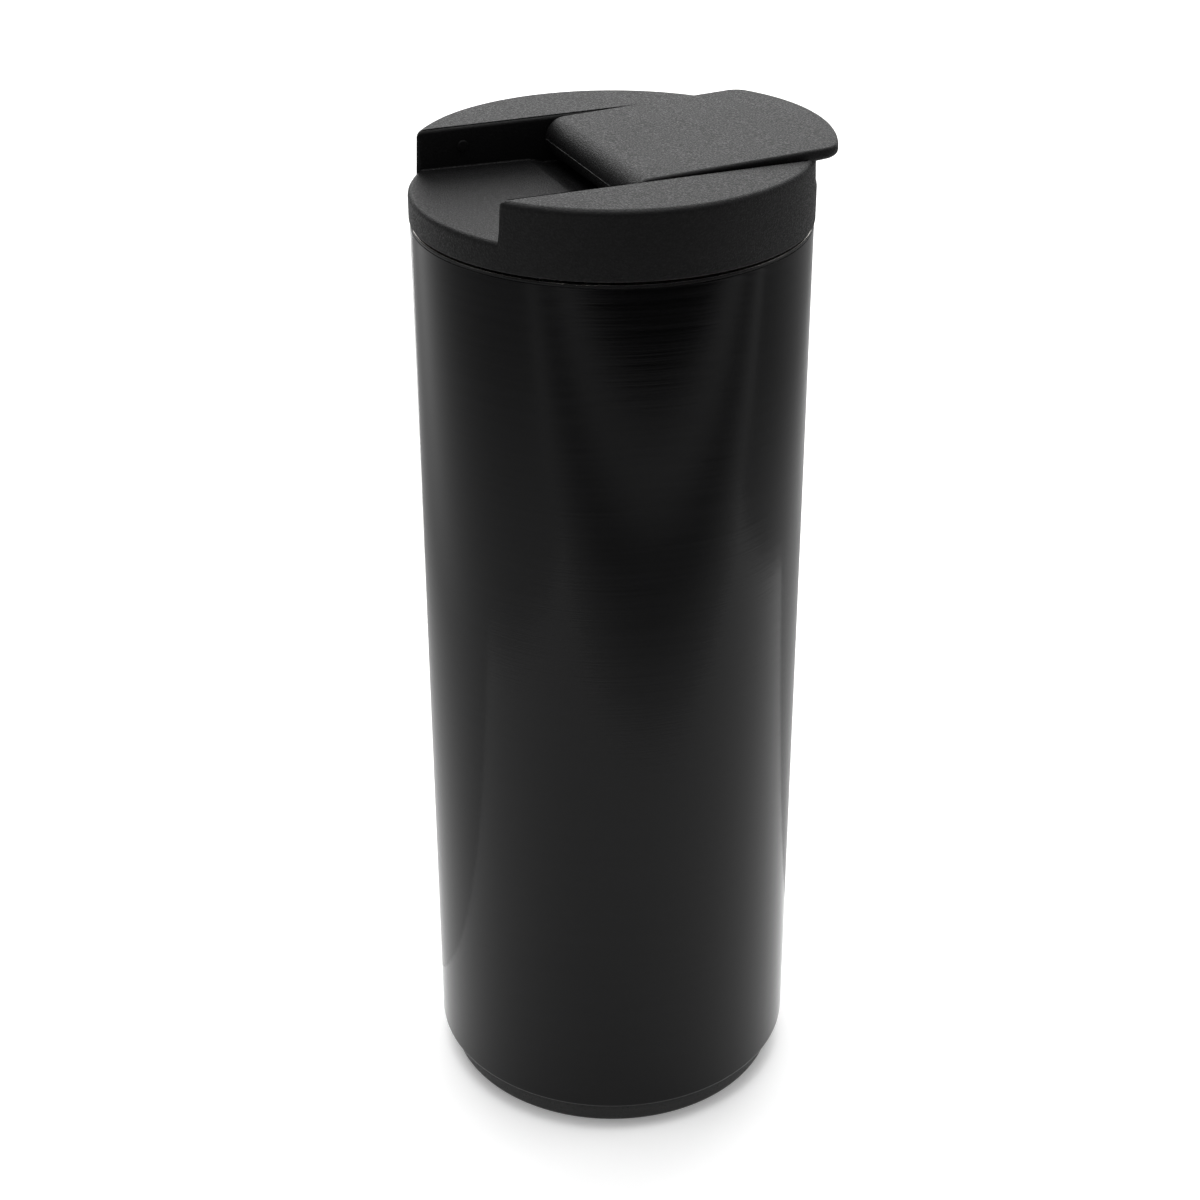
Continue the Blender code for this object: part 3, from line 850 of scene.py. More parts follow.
@dataclass(frozen=True)
class Rubber(Finish):
    """Soft silicone with a powdery, slightly mottled skin."""

    def texture(self, graph: Graph, place: Wire) -> Texture:
        """Fine bloom and broad mottling."""
        bloom = self.noise(graph, place, 6.0, 2.0)
        mottle = self.noise(graph, place, 0.4, 3.0)
        return Texture(
            colour=self.tinted(graph, mottle.ramp(0.3, 0.7) * 0.7 + bloom * 0.3, 0.88, 1.14),
            roughness=bloom * 0.12 + (self.roughness - 0.06),
            height=bloom * 0.6 + mottle * 0.4,
            relief=0.012,
        )


@dataclass(frozen=True)
class Cast(Finish):
    """A small pressed or melted part with a granular or flowing skin."""

    grain: float = 0.3

    def texture(self, graph: Graph, place: Wire) -> Texture:
        """Lumps of one size over a slow change of tone."""
        lumps = graph.add("ShaderNodeTexVoronoi", {"feature": "SMOOTH_F1"},
                          {"Vector": place, "Scale": 1.0 / (self.grain * MM)})
        tone = self.noise(graph, place, 0.5, 2.0)
        return Texture(
            colour=self.tinted(graph, tone, 0.8, 1.2),
            roughness=lumps * 0.1 + self.roughness,
            height=lumps,
            relief=0.02,
        )


@dataclass
class Palette:
    """Every finish of the mug, each made into a material once."""

    coating: bpy.types.Material = field(default_factory=BrushedCoating(
        "brushed_black_coating", BLACK_COATING, 0.13, specular=0.137).material)
    steel: bpy.types.Material = field(default_factory=TurnedSteel(
        "turned_steel", STAINLESS, 0.28, metallic=1.0).material)
    lipped: bpy.types.Material = field(default_factory=CoatedLip(
        "turned_steel_coated_lip", STAINLESS, 0.28, metallic=1.0, specular=0.17).material)
    lid: bpy.types.Material = field(default_factory=SparkedPlastic(
        "grained_black_plastic", (0.0030, 0.0030, 0.0032), 0.42, specular=0.145, grain=0.33,
        relief=0.16).material)
    # The moulding line's light grey colour is a painted highlight along the barrel's parting line.
    moulding_line_highlight: bpy.types.Material = field(default_factory=SparkedPlastic(
        "plastic_moulding_line_painted_highlight", (0.05, 0.05, 0.05), 0.4, specular=0.5, relief=0.01).material)
    inner: bpy.types.Material = field(default_factory=SparkedPlastic(
        "smooth_black_plastic", (0.0105, 0.0105, 0.011), 0.38, specular=0.28, grain=0.25,
        relief=0.012, shade=0.92, glint=1.06).material)
    foot: bpy.types.Material = field(default_factory=SparkedPlastic(
        "foot_plastic", (0.0105, 0.0105, 0.0105), 0.36, specular=0.26, relief=0.06, shade=0.7,
        glint=1.35).material)
    seal: bpy.types.Material = field(default_factory=Rubber(
        "grey_silicone", (0.15, 0.15, 0.155), 0.62, specular=0.4).material)
    pad: bpy.types.Material = field(default_factory=Rubber(
        "black_silicone", (0.022, 0.022, 0.022), 0.78, specular=0.35).material)
    pin: bpy.types.Material = field(default_factory=TurnedSteel(
        "drawn_steel", (0.6, 0.6, 0.6), 0.24, metallic=1.0, line_pitch=0.3).material)
    getter: bpy.types.Material = field(default_factory=Cast(
        "pressed_getter_metal", (0.3, 0.3, 0.31), 0.6, metallic=0.8).material)
    glass: bpy.types.Material = field(default_factory=Cast(
        "solder_glass", (0.18, 0.14, 0.08), 0.16, grain=1.6).material)


# --- sizes from the frame ----------------------------------------------------------------------
@dataclass(frozen=True)
class Extent:
    """The box of one of the frame's nodes at rest, in millimetres."""

    low: Vector
    high: Vector

    @classmethod
    def of(cls, node: str) -> "Extent":
        """The extent of a node by name."""
        low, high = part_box(node)
        return cls(low / MM, high / MM)


# --- the steel vessel --------------------------------------------------------------------------
@dataclass
class Vessel:
    """The double-walled steel mug with its foot and pad."""

    shop: Workshop
    palette: Palette
    sheet: float = 0.6
    vacuum_gap: float = 3.3
    liner_corner: float = 5.8
    seat_radius: float = 29.5
    seat_height: float = 163.4
    seat_slope: float = 2.4
    flare: float = 2.2
    foot_wall: float = 1.8
    foot_rounding: float = 1.5
    pad_recess: float = 0.4
    pad_border: float = 2.6
    pad_clearance: float = 0.3
    stud_pitch: float = 2.2
    stud_rows: int = 24
    stud_sides: int = 8
    rim_closing: float = 0.26
    lip_reach: float = 0.65
    seat_half: float = 0.4
    seat_lean: float = 0.25
    ridge_height: float = 1.1

    def build(self) -> None:
        """Build and hand over every piece of the vessel."""
        self.shell()
        self.liner()
        self.liner_thread()
        self.foot()
        self.pad()
        self.hidden_parts()

    @property
    def bore(self) -> float:
        """The liner's inside radius."""
        return Extent.of("outer_shell").high.x - 2.0 * self.sheet - self.vacuum_gap

    def shell(self) -> bpy.types.Object:
        """The coated outer wall, with its lower edge turned in."""
        box = Extent.of("outer_shell")
        radius, low = box.high.x, box.low.z
        top = box.high.z + self.rim_closing
        lip = Extent.of("base_foot").high.x + self.lip_reach
        inner = radius - self.sheet
        corners = [(lip, low), (radius, low, 0.75), (radius, top, 0.06), (inner, top, 0.04),
                   (inner, low + self.sheet, 0.3), (lip, low + self.sheet)]
        piece = self.shop.turn("outer_shell_coated", corners, self.palette.coating, True, 256)
        return deliver(piece, Body.MUG, Slot.COATING, "outer_shell")

    def liner(self) -> bpy.types.Object:
        """The bare inner vessel, with its flared rim and its sealing bead."""
        box = Extent.of("inner_liner")
        lip, top, under = box.high.x, box.high.z, box.low.z
        floor, inner, outer = under + self.sheet, self.bore, self.bore + self.sheet
        bead, slope, lean = self.seat_radius, self.seat_slope, self.seat_lean
        seat_low, seat_high = self.seat_height - self.seat_half, self.seat_height + self.seat_half
        corners = [
            (0.0, floor), (inner, floor, self.liner_corner),
            (inner, seat_low - slope, 0.8), (bead, seat_low, 0.5), (bead, seat_high, 0.5),
            (inner, seat_high + slope, 0.8), (inner, top, self.flare),
            (lip, top, 0.28), (lip, top - self.sheet, 0.12),
            (outer, top - self.sheet, self.flare - self.sheet),
            (outer, seat_high + slope - lean, 0.4), (bead + self.sheet, seat_high - lean),
            (bead + self.sheet, seat_low + lean), (outer, seat_low - slope + lean, 0.4),
            (outer, under, self.liner_corner + self.sheet), (0.0, under),
        ]
        piece = self.shop.turn("inner_liner_steel", corners, self.palette.lipped, sides=256)
        return deliver(piece, Body.MUG, Slot.STEEL, "inner_liner")

    def liner_thread(self) -> bpy.types.Object:
        """The ridges inside the neck that the lid screws into."""
        base = self.bore + self.sheet / 2.0
        piece = thread(self.shop, "liner_thread_ridges", base, self.bore - self.ridge_height,
                       Thread.liner_height, self.palette.steel)
        return deliver(piece, Body.MUG, Slot.STEEL)

    def foot(self) -> bpy.types.Object:
        """The moulded foot under the steel."""
        box, pad = Extent.of("base_foot"), Extent.of("base_pad")
        radius, low, top = box.high.x, box.low.z, box.high.z
        seat, roof = pad.high.x + self.pad_clearance, pad.high.z + self.pad_clearance
        corners = [(0.0, roof), (seat, roof), (seat, low, 0.25), (radius, low, self.foot_rounding),
                   (radius, top), (radius - self.foot_wall, top),
                   (radius - self.foot_wall, roof + self.foot_wall), (0.0, roof + self.foot_wall)]
        piece = self.shop.turn("base_foot_moulded", corners, self.palette.foot)
        return deliver(piece, Body.MUG, Slot.FOOT, "base_foot")

    def pad(self) -> bpy.types.Object:
        """The soft disc that the mug stands on, with its studs."""
        box = Extent.of("base_pad")
        radius, top, recess = box.high.x, box.high.z, self.pad_recess
        field_radius = radius - self.pad_border
        corners = [(0.0, recess), (field_radius, recess, 0.1), (field_radius + 0.3, 0.0, 0.1),
                   (radius, 0.0, 0.3), (radius, top, 0.15), (0.0, top)]
        disc = self.shop.turn("base_pad_disc", corners, self.palette.pad)
        stud = around((0.0, 0.0), 0.0, ((0.42, 0.02), (0.6, 0.1), (0.7, recess + 0.1)),
                      self.stud_sides)
        mesh = bpy.data.meshes.new("pad_stud")
        stud.to_mesh(mesh)
        stud.free()
        studs = self.shop.studding.run(
            "base_pad_studs", mesh, Pitch=self.stud_pitch * MM, Rows=self.stud_rows,
            Reach=(field_radius - self.pad_border / 2.0) * MM, Finish=self.palette.pad)
        deliver(studs, Body.MUG, Slot.PAD)
        return deliver(disc, Body.MUG, Slot.PAD, "base_pad")

    def hidden_parts(self) -> None:
        """Dress the frame's own vacuum plate, getter and glass bead."""
        finishes = {"vacuum_base": self.palette.steel, "getter": self.palette.getter,
                    "vacuum_seal": self.palette.glass}
        for node, finish in finishes.items():
            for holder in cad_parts[node].material_slots:
                holder.material = finish
            LOG.info("%s: dressed as %s", node, finish.name)


# --- the thread --------------------------------------------------------------------------------
@dataclass(frozen=True)
class Thread:
    """The sizes that the liner's and the plug's ridges share."""

    lead: float = 18.0
    starts: int = 3
    span: float = math.radians(90.0)
    phase: float = math.radians(2.2)
    liner_height: float = 173.8
    base_half: float = 1.4
    crest_half: float = 1.0
    rounding: float = 0.4


def thread(shop: Workshop, name: str, base: float, crest: float, height: float,
           finish: bpy.types.Material) -> bpy.types.Object:
    """Thread ridges on a round wall.

    Args:
        shop: the shared trees.
        name: the piece's name.
        base: the radius at the ridges' foot, inside the wall.
        crest: the radius at their crest.
        height: the height of a ridge's middle where it starts.
        finish: the material.

    Returns:
        The ridges as one piece.
    """
    top, foot, rise, edge = Thread.crest_half, Thread.base_half, crest - base, Thread.rounding
    section = rounded([(0.0, -foot), (rise, -top, edge), (rise, top, edge), (0.0, foot)])
    return shop.winding.run(name, outline_mesh(name, section, True), Span=Thread.span,
                            Radius=base * MM, Lead=Thread.lead * MM, Height=height * MM,
                            Starts=Thread.starts, Phase=Thread.phase, Finish=finish)


ROUND_SIDES = 40


# --- the lid -----------------------------------------------------------------------------------
@dataclass
class Lid:
    """The moulded lid with its channel, and the threaded plug under it."""

    shop: Workshop
    palette: Palette
    wall: float = 2.0
    channel_half: float = 21.15
    channel_slope: float = math.radians(1.2)
    well_depth: float = 0.65
    well_start: float = -7.8
    well_level: float = -5.2
    step_start: float = 3.6
    step_end: float = 5.2
    deck_top: float = 189.3
    nose_radius: float = 3.8
    nose_clearance: float = 0.35
    bump_place: Point2 = (-20.7, 191.25)
    bump_radius: float = 1.0
    bump_height: float = 0.4
    bump_edge: float = 0.2
    bump_root: float = 0.6
    pin_bore: float = 1.5
    overshoot: float = 2.0
    drink_x: float = 21.0
    drink_half: Point2 = (4.0, 8.0)
    vent_x: float = 10.0
    vent_radius: float = 1.4
    tube_wall: float = 1.2
    plug_inner: float = 27.2
    plug_radius: float = 30.1
    plug_floor: float = 1.8
    plug_shelf: float = 1.15
    plug_setback: float = 0.4
    groove_depth: float = 1.4
    groove_low: float = 1.2
    groove_high: float = 4.0
    ridge_height: float = 1.2
    rim_setback: float = 1.15
    skirt_edge: float = 0.28
    wall_edge: float = 0.75
    floor_end_edge: float = 1.0
    wall_foot_edge: float = 0.35
    step_edge: float = 0.5
    fold_edge: float = 0.3
    side_step: float = math.radians(2.2)

    def __post_init__(self) -> None:
        """Read the hinge axis and the lid's own height and radius from the frame."""
        box, pin = Extent.of("lid_cover"), Extent.of("hinge_pin")
        self.radius, self.low, self.top = box.high.x, box.low.z, box.high.z
        self.hinge = (pin.low + pin.high) / 2.0

    def build(self) -> None:
        """Build and hand over every piece of the lid."""
        self.cover()
        self.plug()
        self.plug_thread()
        self.seal()
        self.spout_ring()
        self.pin()

    def floor(self, x: float) -> float:
        """The height of the empty half's floor, which rises a little to the rim."""
        reach = self.nose_radius + self.nose_clearance
        under = self.hinge.z - reach / math.cos(self.channel_slope)
        return under + (self.hinge.x - x) * math.tan(self.channel_slope)

    def channel_line(self) -> list[Point2]:
        """The channel's floor from the empty end to the drinking end, as (x, z)."""
        edge = math.sqrt(self.radius ** 2 - self.channel_half ** 2)
        well = self.floor(self.hinge.x) - self.well_depth
        return [(-edge, self.floor(-edge)), (self.well_start, self.floor(self.well_start)),
                (self.well_level, well), (self.step_start, well), (self.step_end, self.deck_top),
                (edge, self.deck_top)]

    def solid(self) -> bmesh.types.BMesh:
        """The lid's sharp-edged outside: a disc with the channel cut through it."""
        bm = bmesh.new()
        corner = math.asin(self.channel_half / self.radius)
        line = self.channel_line()

        def vert(x: float, y: float, z: float) -> bmesh.types.BMVert:
            """A new corner of the solid."""
            return bm.verts.new(Vector((x, y, z)) * MM)

        def stretch(start: float, end: float) -> list[Point2]:
            """Plan points of an arc of the lid's side, with even steps."""
            count = max(1, round(abs(end - start) / self.side_step))
            angles = [start + (end - start) * i / count for i in range(count + 1)]
            return [(self.radius * math.cos(a), self.radius * math.sin(a)) for a in angles]

        arcs = {"right": stretch(-corner, corner), "rear": stretch(corner, math.pi - corner),
                "left": stretch(math.pi - corner, math.pi + corner),
                "front": stretch(math.pi + corner, 2.0 * math.pi - corner)}
        bottom: dict[str, list[bmesh.types.BMVert]] = {}
        ring: list[bmesh.types.BMVert] = []
        for name, plan in arcs.items():
            first = [vert(x, y, self.low) for x, y in plan[:-1]]
            bottom[name] = first
            ring += first
        order = list(arcs)
        for name, after in zip(order, order[1:] + order[:1]):
            bottom[name] = bottom[name] + [bottom[after][0]]
        floor_ends = {
            "right": [vert(x, y, self.deck_top) for x, y in arcs["right"]],
            "left": [vert(x, y, self.floor(x)) for x, y in arcs["left"]],
        }
        for name, level in floor_ends.items():
            for i in range(len(level) - 1):
                bm.faces.new((bottom[name][i], bottom[name][i + 1], level[i + 1], level[i]))
        walls = {}
        for name, before, after in (("rear", "right", "left"), ("front", "left", "right")):
            tops = [vert(x, y, self.top) for x, y in arcs[name]]
            walls[name] = tops
            for i in range(len(tops) - 1):
                face = [bottom[name][i], bottom[name][i + 1], tops[i + 1], tops[i]]
                if i == 0:
                    face.append(floor_ends[before][-1])
                if i == len(tops) - 2:
                    face.insert(2, floor_ends[after][0])
                bm.faces.new(face)
            bm.faces.new(tops)
        sides = {}
        for side, left, right in ((1, floor_ends["left"][0], floor_ends["right"][-1]),
                                  (-1, floor_ends["left"][-1], floor_ends["right"][0])):
            inner = [vert(x, side * self.channel_half, z) for x, z in line[1:-1]]
            sides[side] = [left] + inner + [right]
        for i in range(1, len(line) - 2):
            bm.faces.new((sides[1][i], sides[1][i + 1], sides[-1][i + 1], sides[-1][i]))
        bm.faces.new(floor_ends["left"] + [sides[-1][1], sides[1][1]])
        bm.faces.new(floor_ends["right"] + [sides[1][-2], sides[-1][-2]])
        bm.faces.new(sides[1] + [walls["rear"][0], walls["rear"][-1]])
        bm.faces.new(sides[-1] + [walls["front"][-1], walls["front"][0]])
        bm.faces.new(ring)
        weigh_edges(bm, self.rim_setback, self.setback)
        return bm

    def setback(self, first: Vector, last: Vector) -> float:
        """How far an edge of the sharp lid is rounded back.

        Args:
            first: one end of the edge.
            last: its other end.

        Returns:
            The setback in millimetres, or 0 where the edge stays as it is.
        """
        near = 0.01
        middle = (first + last) / 2.0
        on_rim = all(abs(math.hypot(p.x, p.y) - self.radius) < near for p in (first, last))
        on_wall = all(abs(abs(p.y) - self.channel_half) < near for p in (first, last))
        same_side = abs(first.y - last.y) < near
        upright = (first - last).xy.length < near
        if abs(middle.z - self.low) < near:
            return self.skirt_edge
        if abs(middle.z - self.top) < near:
            return self.wall_edge if on_wall and same_side else self.rim_setback
        if upright:
            return self.rim_setback if on_wall and middle.z > self.deck_top - 1.0 else 0.0
        if on_rim and not (on_wall and same_side):
            return self.floor_end_edge
        if on_wall and same_side:
            return self.wall_foot_edge
        if abs(middle.x - self.step_end) < near:
            return self.step_edge
        return self.fold_edge

    def cover(self) -> bpy.types.Object:
        """The lid's cover: skirt, two shoulders, the channel and its openings."""
        blank = Blank("lid_cover_moulded", self.solid()).round_edges(self.rim_setback)
        inner = self.radius - self.wall
        levels = ((0.0, self.low - self.overshoot), (0.0, self.top - self.wall))
        hollow = Blank("lid_hollow", around((inner, inner), 0.0, levels, 128))
        edge = self.radius + 4.0
        section = [(x, z - self.wall) for x, z in self.channel_line()]
        section[0] = (-edge, self.floor(-edge) - self.wall)
        section[-1] = (edge, self.deck_top - self.wall)
        section += [(edge, self.top + 5.0), (-edge, self.top + 5.0)]
        hollow.shape("DIFFERENCE", extruded(section, self.channel_half + self.wall))
        core = hollow.piece(self.palette.lid)
        blank.shape("DIFFERENCE", lifted(core))
        deck, vent_half = self.deck_top, (self.vent_radius, self.vent_radius)
        for half, centre, sides, edge, brim in ((self.drink_half, self.drink_x, 72, 0.55, 3.0),
                                                (vent_half, self.vent_x, ROUND_SIDES, 0.3, 1.0)):
            flare = [(0.0, deck - 4.0), (0.0, deck, edge), (brim, deck), (brim, deck + 1.0)]
            blank.shape("DIFFERENCE", around(half, centre, rounded(flare), sides))
        blank.shape("DIFFERENCE", self.bore(self.channel_half + 3.0), self.across())
        for side in (-1, 1):
            blank.shape("UNION", self.bump(side))
        piece = blank.piece(self.palette.lid)
        return deliver(piece, Body.LID, Slot.LID, "lid_cover")

    def bore(self, half: float) -> bmesh.types.BMesh:
        """A round tool for the pin's hole, that far to both sides."""
        size = (self.pin_bore, self.pin_bore)
        return around(size, 0.0, ((0.0, -half), (0.0, half)), ROUND_SIDES)

    def across(self) -> Matrix:
        """The place of a shape whose own Z axis lies on the hinge axis."""
        return Matrix.Translation(self.hinge * MM) @ Matrix.Rotation(-math.pi / 2.0, 4, "X")

    def bump(self, side: int) -> bmesh.types.BMesh:
        """A low round bump on one wall of the channel, which holds the open flap."""
        edge, sides = self.bump_edge, 32
        profile = [(self.bump_radius, -self.bump_root)]
        profile += arc((self.bump_radius - edge, self.bump_height - edge), edge, 0.0, 90.0, 15.0)
        turns = [2.0 * math.pi * i / sides for i in range(sides)]
        return lofted([[(self.bump_place[0] + out * math.cos(a),
                         side * (self.channel_half - depth),
                         self.bump_place[1] + out * math.sin(a)) for a in turns]
                       for out, depth in profile])

    def plug(self) -> bpy.types.Object:
        """The cup under the cover, with the drinking and vent passages through it."""
        box = Extent.of("lid_plug")
        radius, low, top = self.plug_radius, box.low.z, box.high.z
        flange, shelf = box.high.x, top - self.plug_shelf
        groove, lip = radius - self.groove_depth, radius - self.plug_setback
        groove_low, groove_high = low + self.groove_low, low + self.groove_high
        corners = [
            (0.0, low), (lip, low, 0.5), (lip, groove_low, 0.1),
            (groove, groove_low), (groove, groove_high), (radius, groove_high, 0.25),
            (radius, shelf, 0.3), (flange, shelf, 0.2), (flange, top, 0.2),
            (self.plug_inner, top, 0.2), (self.plug_inner, low + self.plug_floor, 1.2),
            (0.0, low + self.plug_floor),
        ]
        cup = self.shop.turn("lid_plug_cup", corners, self.palette.inner, sides=160)
        blank = Blank("lid_plug_moulded", lifted(cup))
        foot = low + 1.0
        wall, roof = self.tube_wall, self.deck_top - self.wall
        tubes = ((self.drink_half, self.drink_x, 72, 1.1),
                 ((self.vent_radius, self.vent_radius), self.vent_x, ROUND_SIDES, 0.7))
        for half, centre, sides, drop in tubes:
            tube = ((wall, foot), (wall, roof - drop))
            blank.shape("UNION", around(half, centre, tube, sides))
        for half, centre, sides, _ in tubes:
            passage = ((0.0, low - self.overshoot), (0.0, roof))
            blank.shape("DIFFERENCE", around(half, centre, passage, sides))
        return deliver(blank.piece(self.palette.inner), Body.LID, Slot.INNER, "lid_plug")

    def plug_thread(self) -> bpy.types.Object:
        """The ridges round the plug, half a pitch below the liner's."""
        height = Thread.liner_height - Thread.lead / Thread.starts / 2.0
        piece = thread(self.shop, "plug_thread_ridges", self.plug_radius - self.plug_setback,
                       self.plug_radius + self.ridge_height, height, self.palette.inner)
        return deliver(piece, Body.LID, Slot.INNER)

    def seal(self) -> bpy.types.Object:
        """The silicone lip ring in the plug's groove."""
        box, low = Extent.of("lid_seal"), Extent.of("lid_plug").low.z
        lip, top, inner = box.high.x, box.high.z, self.plug_radius - 1.1
        corners = [(inner, low + 1.5, 0.1), (lip - 0.3, low + 1.5, 0.1),
                   (lip - 0.3, low + 0.35, 0.05), (lip, low + 0.35, 0.1), (lip, low + 2.9, 0.4),
                   (lip - 0.5, top, 0.2), (inner, top, 0.15)]
        piece = self.shop.turn("lid_seal_ring", corners, self.palette.seal, True)
        return deliver(piece, Body.SEAL_RING, Slot.SEAL, "lid_seal")

    def spout_ring(self) -> bpy.types.Object:
        """The oval silicone ring between the drinking tube and the deck."""
        box = Extent.of("spout_seal")
        low, top, wall = box.low.z, box.high.z, self.tube_wall
        section = rounded([(0.0, low, 0.12), (wall, low, 0.12), (wall, top, 0.12),
                           (0.0, top, 0.12)], True)
        ring = around(self.drink_half, self.drink_x, section, closed=True)
        piece = Blank("spout_seal_ring", ring).piece(self.palette.seal)
        return deliver(piece, Body.LID, Slot.SEAL, "spout_seal")

    def pin(self) -> bpy.types.Object:
        """The steel pin through the flap's barrel."""
        box = Extent.of("hinge_pin")
        half, radius = (box.high.y - box.low.y) / 2.0, (box.high.z - box.low.z) / 2.0
        corners = [(0.0, -half), (radius, -half, 0.25), (radius, half, 0.25), (0.0, half)]
        piece = self.shop.turn("hinge_pin_steel", corners, self.palette.pin, sides=ROUND_SIDES)
        piece.data.transform(self.across())
        return deliver(piece, Body.LID, Slot.PIN, "hinge_pin")


def lifted(piece: bpy.types.Object) -> bmesh.types.BMesh:
    """A piece's mesh for further work. The piece itself is removed."""
    bm = bmesh.new()
    bm.from_mesh(piece.data)
    bpy.data.objects.remove(piece, do_unlink=True)
    return bm


# --- the flap ----------------------------------------------------------------------------------
@dataclass
class Flap:
    """The flap that closes the drinking side and swings over to the empty side."""

    lid: Lid
    tilt: float = math.radians(2.3)
    half: float = 20.5
    plate: float = 2.2
    tip_centre: float = 3.8
    tip_radius: float = 37.7
    tip_corner: float = 4.0
    edge: float = 0.65
    under_edge: float = 1.1
    low_edge: float = 0.35
    web: float = 1.2
    gap: float = 0.3
    skirt_start: float = 6.0
    skirt_half: float = 19.3
    skirt_wall: float = 1.4
    end_radius: float = 36.2
    tray_edge: float = 0.3
    rib_pitch: float = 3.6
    rib_count: int = 6
    rib_start: float = 10.5
    rib_offset: float = 14.4
    rib_half: Point2 = (0.4, 2.9)
    rib_depth: float = 0.8
    line_radius: float = 0.055
    line_waver: float = 0.18
    line_seed: float = 4.0
    drink_flange: float = 2.2
    vent_flange: float = 0.8

    def __post_init__(self) -> None:
        """Draw the plate's plan from where its straight sides end."""
        plan = self.rounded_end(0.0, self.half, self.tip_centre, self.tip_radius, self.tip_corner)
        self.tip = plan[1:-1]

    def build(self) -> None:
        """Build and hand over every piece of the flap."""
        self.top_plate()
        self.moulding_line()
        self.tray()
        self.ribs()
        self.drink_stopper()
        self.vent_stopper()

    @property
    def shop(self) -> Workshop:
        """The shared trees."""
        return self.lid.shop

    @property
    def palette(self) -> Palette:
        """The shared materials."""
        return self.lid.palette

    def level(self) -> Matrix:
        """The place of a level shape that is drawn from the hinge axis."""
        return Matrix.Translation(self.lid.hinge * MM)

    def tilted(self) -> Matrix:
        """The place of a shape that is drawn in the closed flap's own, slightly raised frame."""
        return self.level() @ Matrix.Rotation(-self.tilt, 4, "Y")

    def rounded_end(self, start: float, half: float, centre: float, radius: float,
                    corner: float) -> list[Point2]:
        """A level outline: straight sides, two round corners and a wide end arc.

        Args:
            start: where the straight sides begin.
            half: their half width.
            centre: the centre of the end arc, on the middle line.
            radius: its radius.
            corner: the radius of the two corners.

        Returns:
            The plan points from the front side round to the rear side.
        """
        reach = math.sqrt((radius - corner) ** 2 - (half - corner) ** 2)
        lean = math.degrees(math.atan2(half - corner, reach))
        points = [(start, -half)]
        points += arc((centre + reach, corner - half), corner, -90.0, -lean, 10.0)
        points += arc((centre, 0.0), radius, -lean, lean, 2.2)[1:-1]
        points += arc((centre + reach, half - corner), corner, lean, 90.0, 10.0)
        return points + [(start, half)]

    def top_plate(self) -> bpy.types.Object:
        """The upper plate, made in one piece with its round hinge barrel."""
        nose = self.lid.nose_radius
        under = nose - self.plate
        meeting = math.degrees(math.asin(under / nose))
        barrel = arc((0.0, 0.0), nose, 90.0, 360.0 + meeting, 10.0)
        bm = bmesh.new()

        def vert(x: float, y: float, z: float) -> bmesh.types.BMVert:
            """A new corner of the solid."""
            return bm.verts.new(Vector((x, y, z)) * MM)

        ends = {side: [vert(x, side * self.half, z) for x, z in barrel] for side in (-1, 1)}
        top = [vert(x, y, nose) for x, y in self.tip]
        bottom = [vert(x, y, under) for x, y in self.tip]
        for i in range(len(barrel) - 1):
            bm.faces.new((ends[-1][i], ends[-1][i + 1], ends[1][i + 1], ends[1][i]))
        for i in range(len(self.tip) - 1):
            bm.faces.new((top[i], top[i + 1], bottom[i + 1], bottom[i]))
        bm.faces.new([ends[-1][0]] + top + [ends[1][0]])
        bm.faces.new([ends[-1][-1]] + bottom + [ends[1][-1]])
        bm.faces.new(ends[-1] + [bottom[0], top[0]])
        bm.faces.new(ends[1] + [bottom[-1], top[-1]])
        weigh_edges(bm, self.under_edge, self.setback)
        blank = Blank("flap_top_plate", bm, self.tilted()).round_edges(self.under_edge)
        blank.shape("DIFFERENCE", self.lid.bore(self.half + 1.0), self.lid.across())
        return deliver(blank.piece(self.palette.lid), Body.FLAP, Slot.LID, "flap_top")

    def setback(self, first: Vector, last: Vector) -> float:
        """How far an edge of the sharp plate is rounded back, in millimetres."""
        near = 0.01
        nose = self.lid.nose_radius
        on_side = all(abs(abs(p.y) - self.half) < near for p in (first, last))
        across = abs(first.y - last.y) > 1.9 * self.half
        upright = (first - last).xy.length < near
        if across or upright:
            return 0.0
        if abs(first.z - (nose - self.plate)) < near and abs(last.z - first.z) < near:
            on_tip = min(first.x, last.x) > self.tip[0][0] - near
            return self.under_edge if on_tip else self.low_edge
        return self.edge if on_side or abs(first.z - nose) < near else 0.0

    def moulding_line(self) -> bpy.types.Object:
        """The thin line that the mould's parting leaves across the barrel, finished lighter than
        its plastic as a painted highlight.
        """
        start = bpy.data.meshes.new("moulding_line_start")
        line = self.shop.flashing.run(
            "flap_moulding_line", start, Half_Length=(self.half - self.edge - 0.1) * MM,
            Seed=self.line_seed, Waver=self.line_waver * MM, Radius=self.line_radius * MM,
            Finish=self.palette.moulding_line_highlight)
        nose = Matrix.Translation((-self.lid.nose_radius * MM, 0.0, 0.0))
        line.data.transform(self.level() @ nose)
        return deliver(line, Body.FLAP, Slot.LID)

    def tray_bottom(self, x: float) -> float:
        """The height of the tray's lower edge, which is level above the deck when closed."""
        level = self.lid.deck_top + self.gap - self.lid.hinge.z
        return level / math.cos(self.tilt) - x * math.tan(self.tilt)

    def tray(self) -> bpy.types.Object:
        """The tray under the plate: a web with a skirt, and an end wall that fills the notch."""
        top = self.lid.nose_radius - self.plate - self.gap
        inner = self.end_radius - self.skirt_wall
        centre = -self.lid.hinge.x
        step = math.sqrt(inner ** 2 - self.half ** 2) + centre
        end = self.rounded_end(step, self.half, centre, self.end_radius, 0.9)
        sides = self.rounded_end(self.skirt_start, self.skirt_half, centre, inner, 0.8)
        plan = [sides[0], (step, -self.skirt_half)] + end + [(step, self.skirt_half), sides[-1]]
        rings = [[(x, y, self.tray_bottom(x)) for x, y in plan], [(x, y, top) for x, y in plan]]
        bm = lofted(rings)

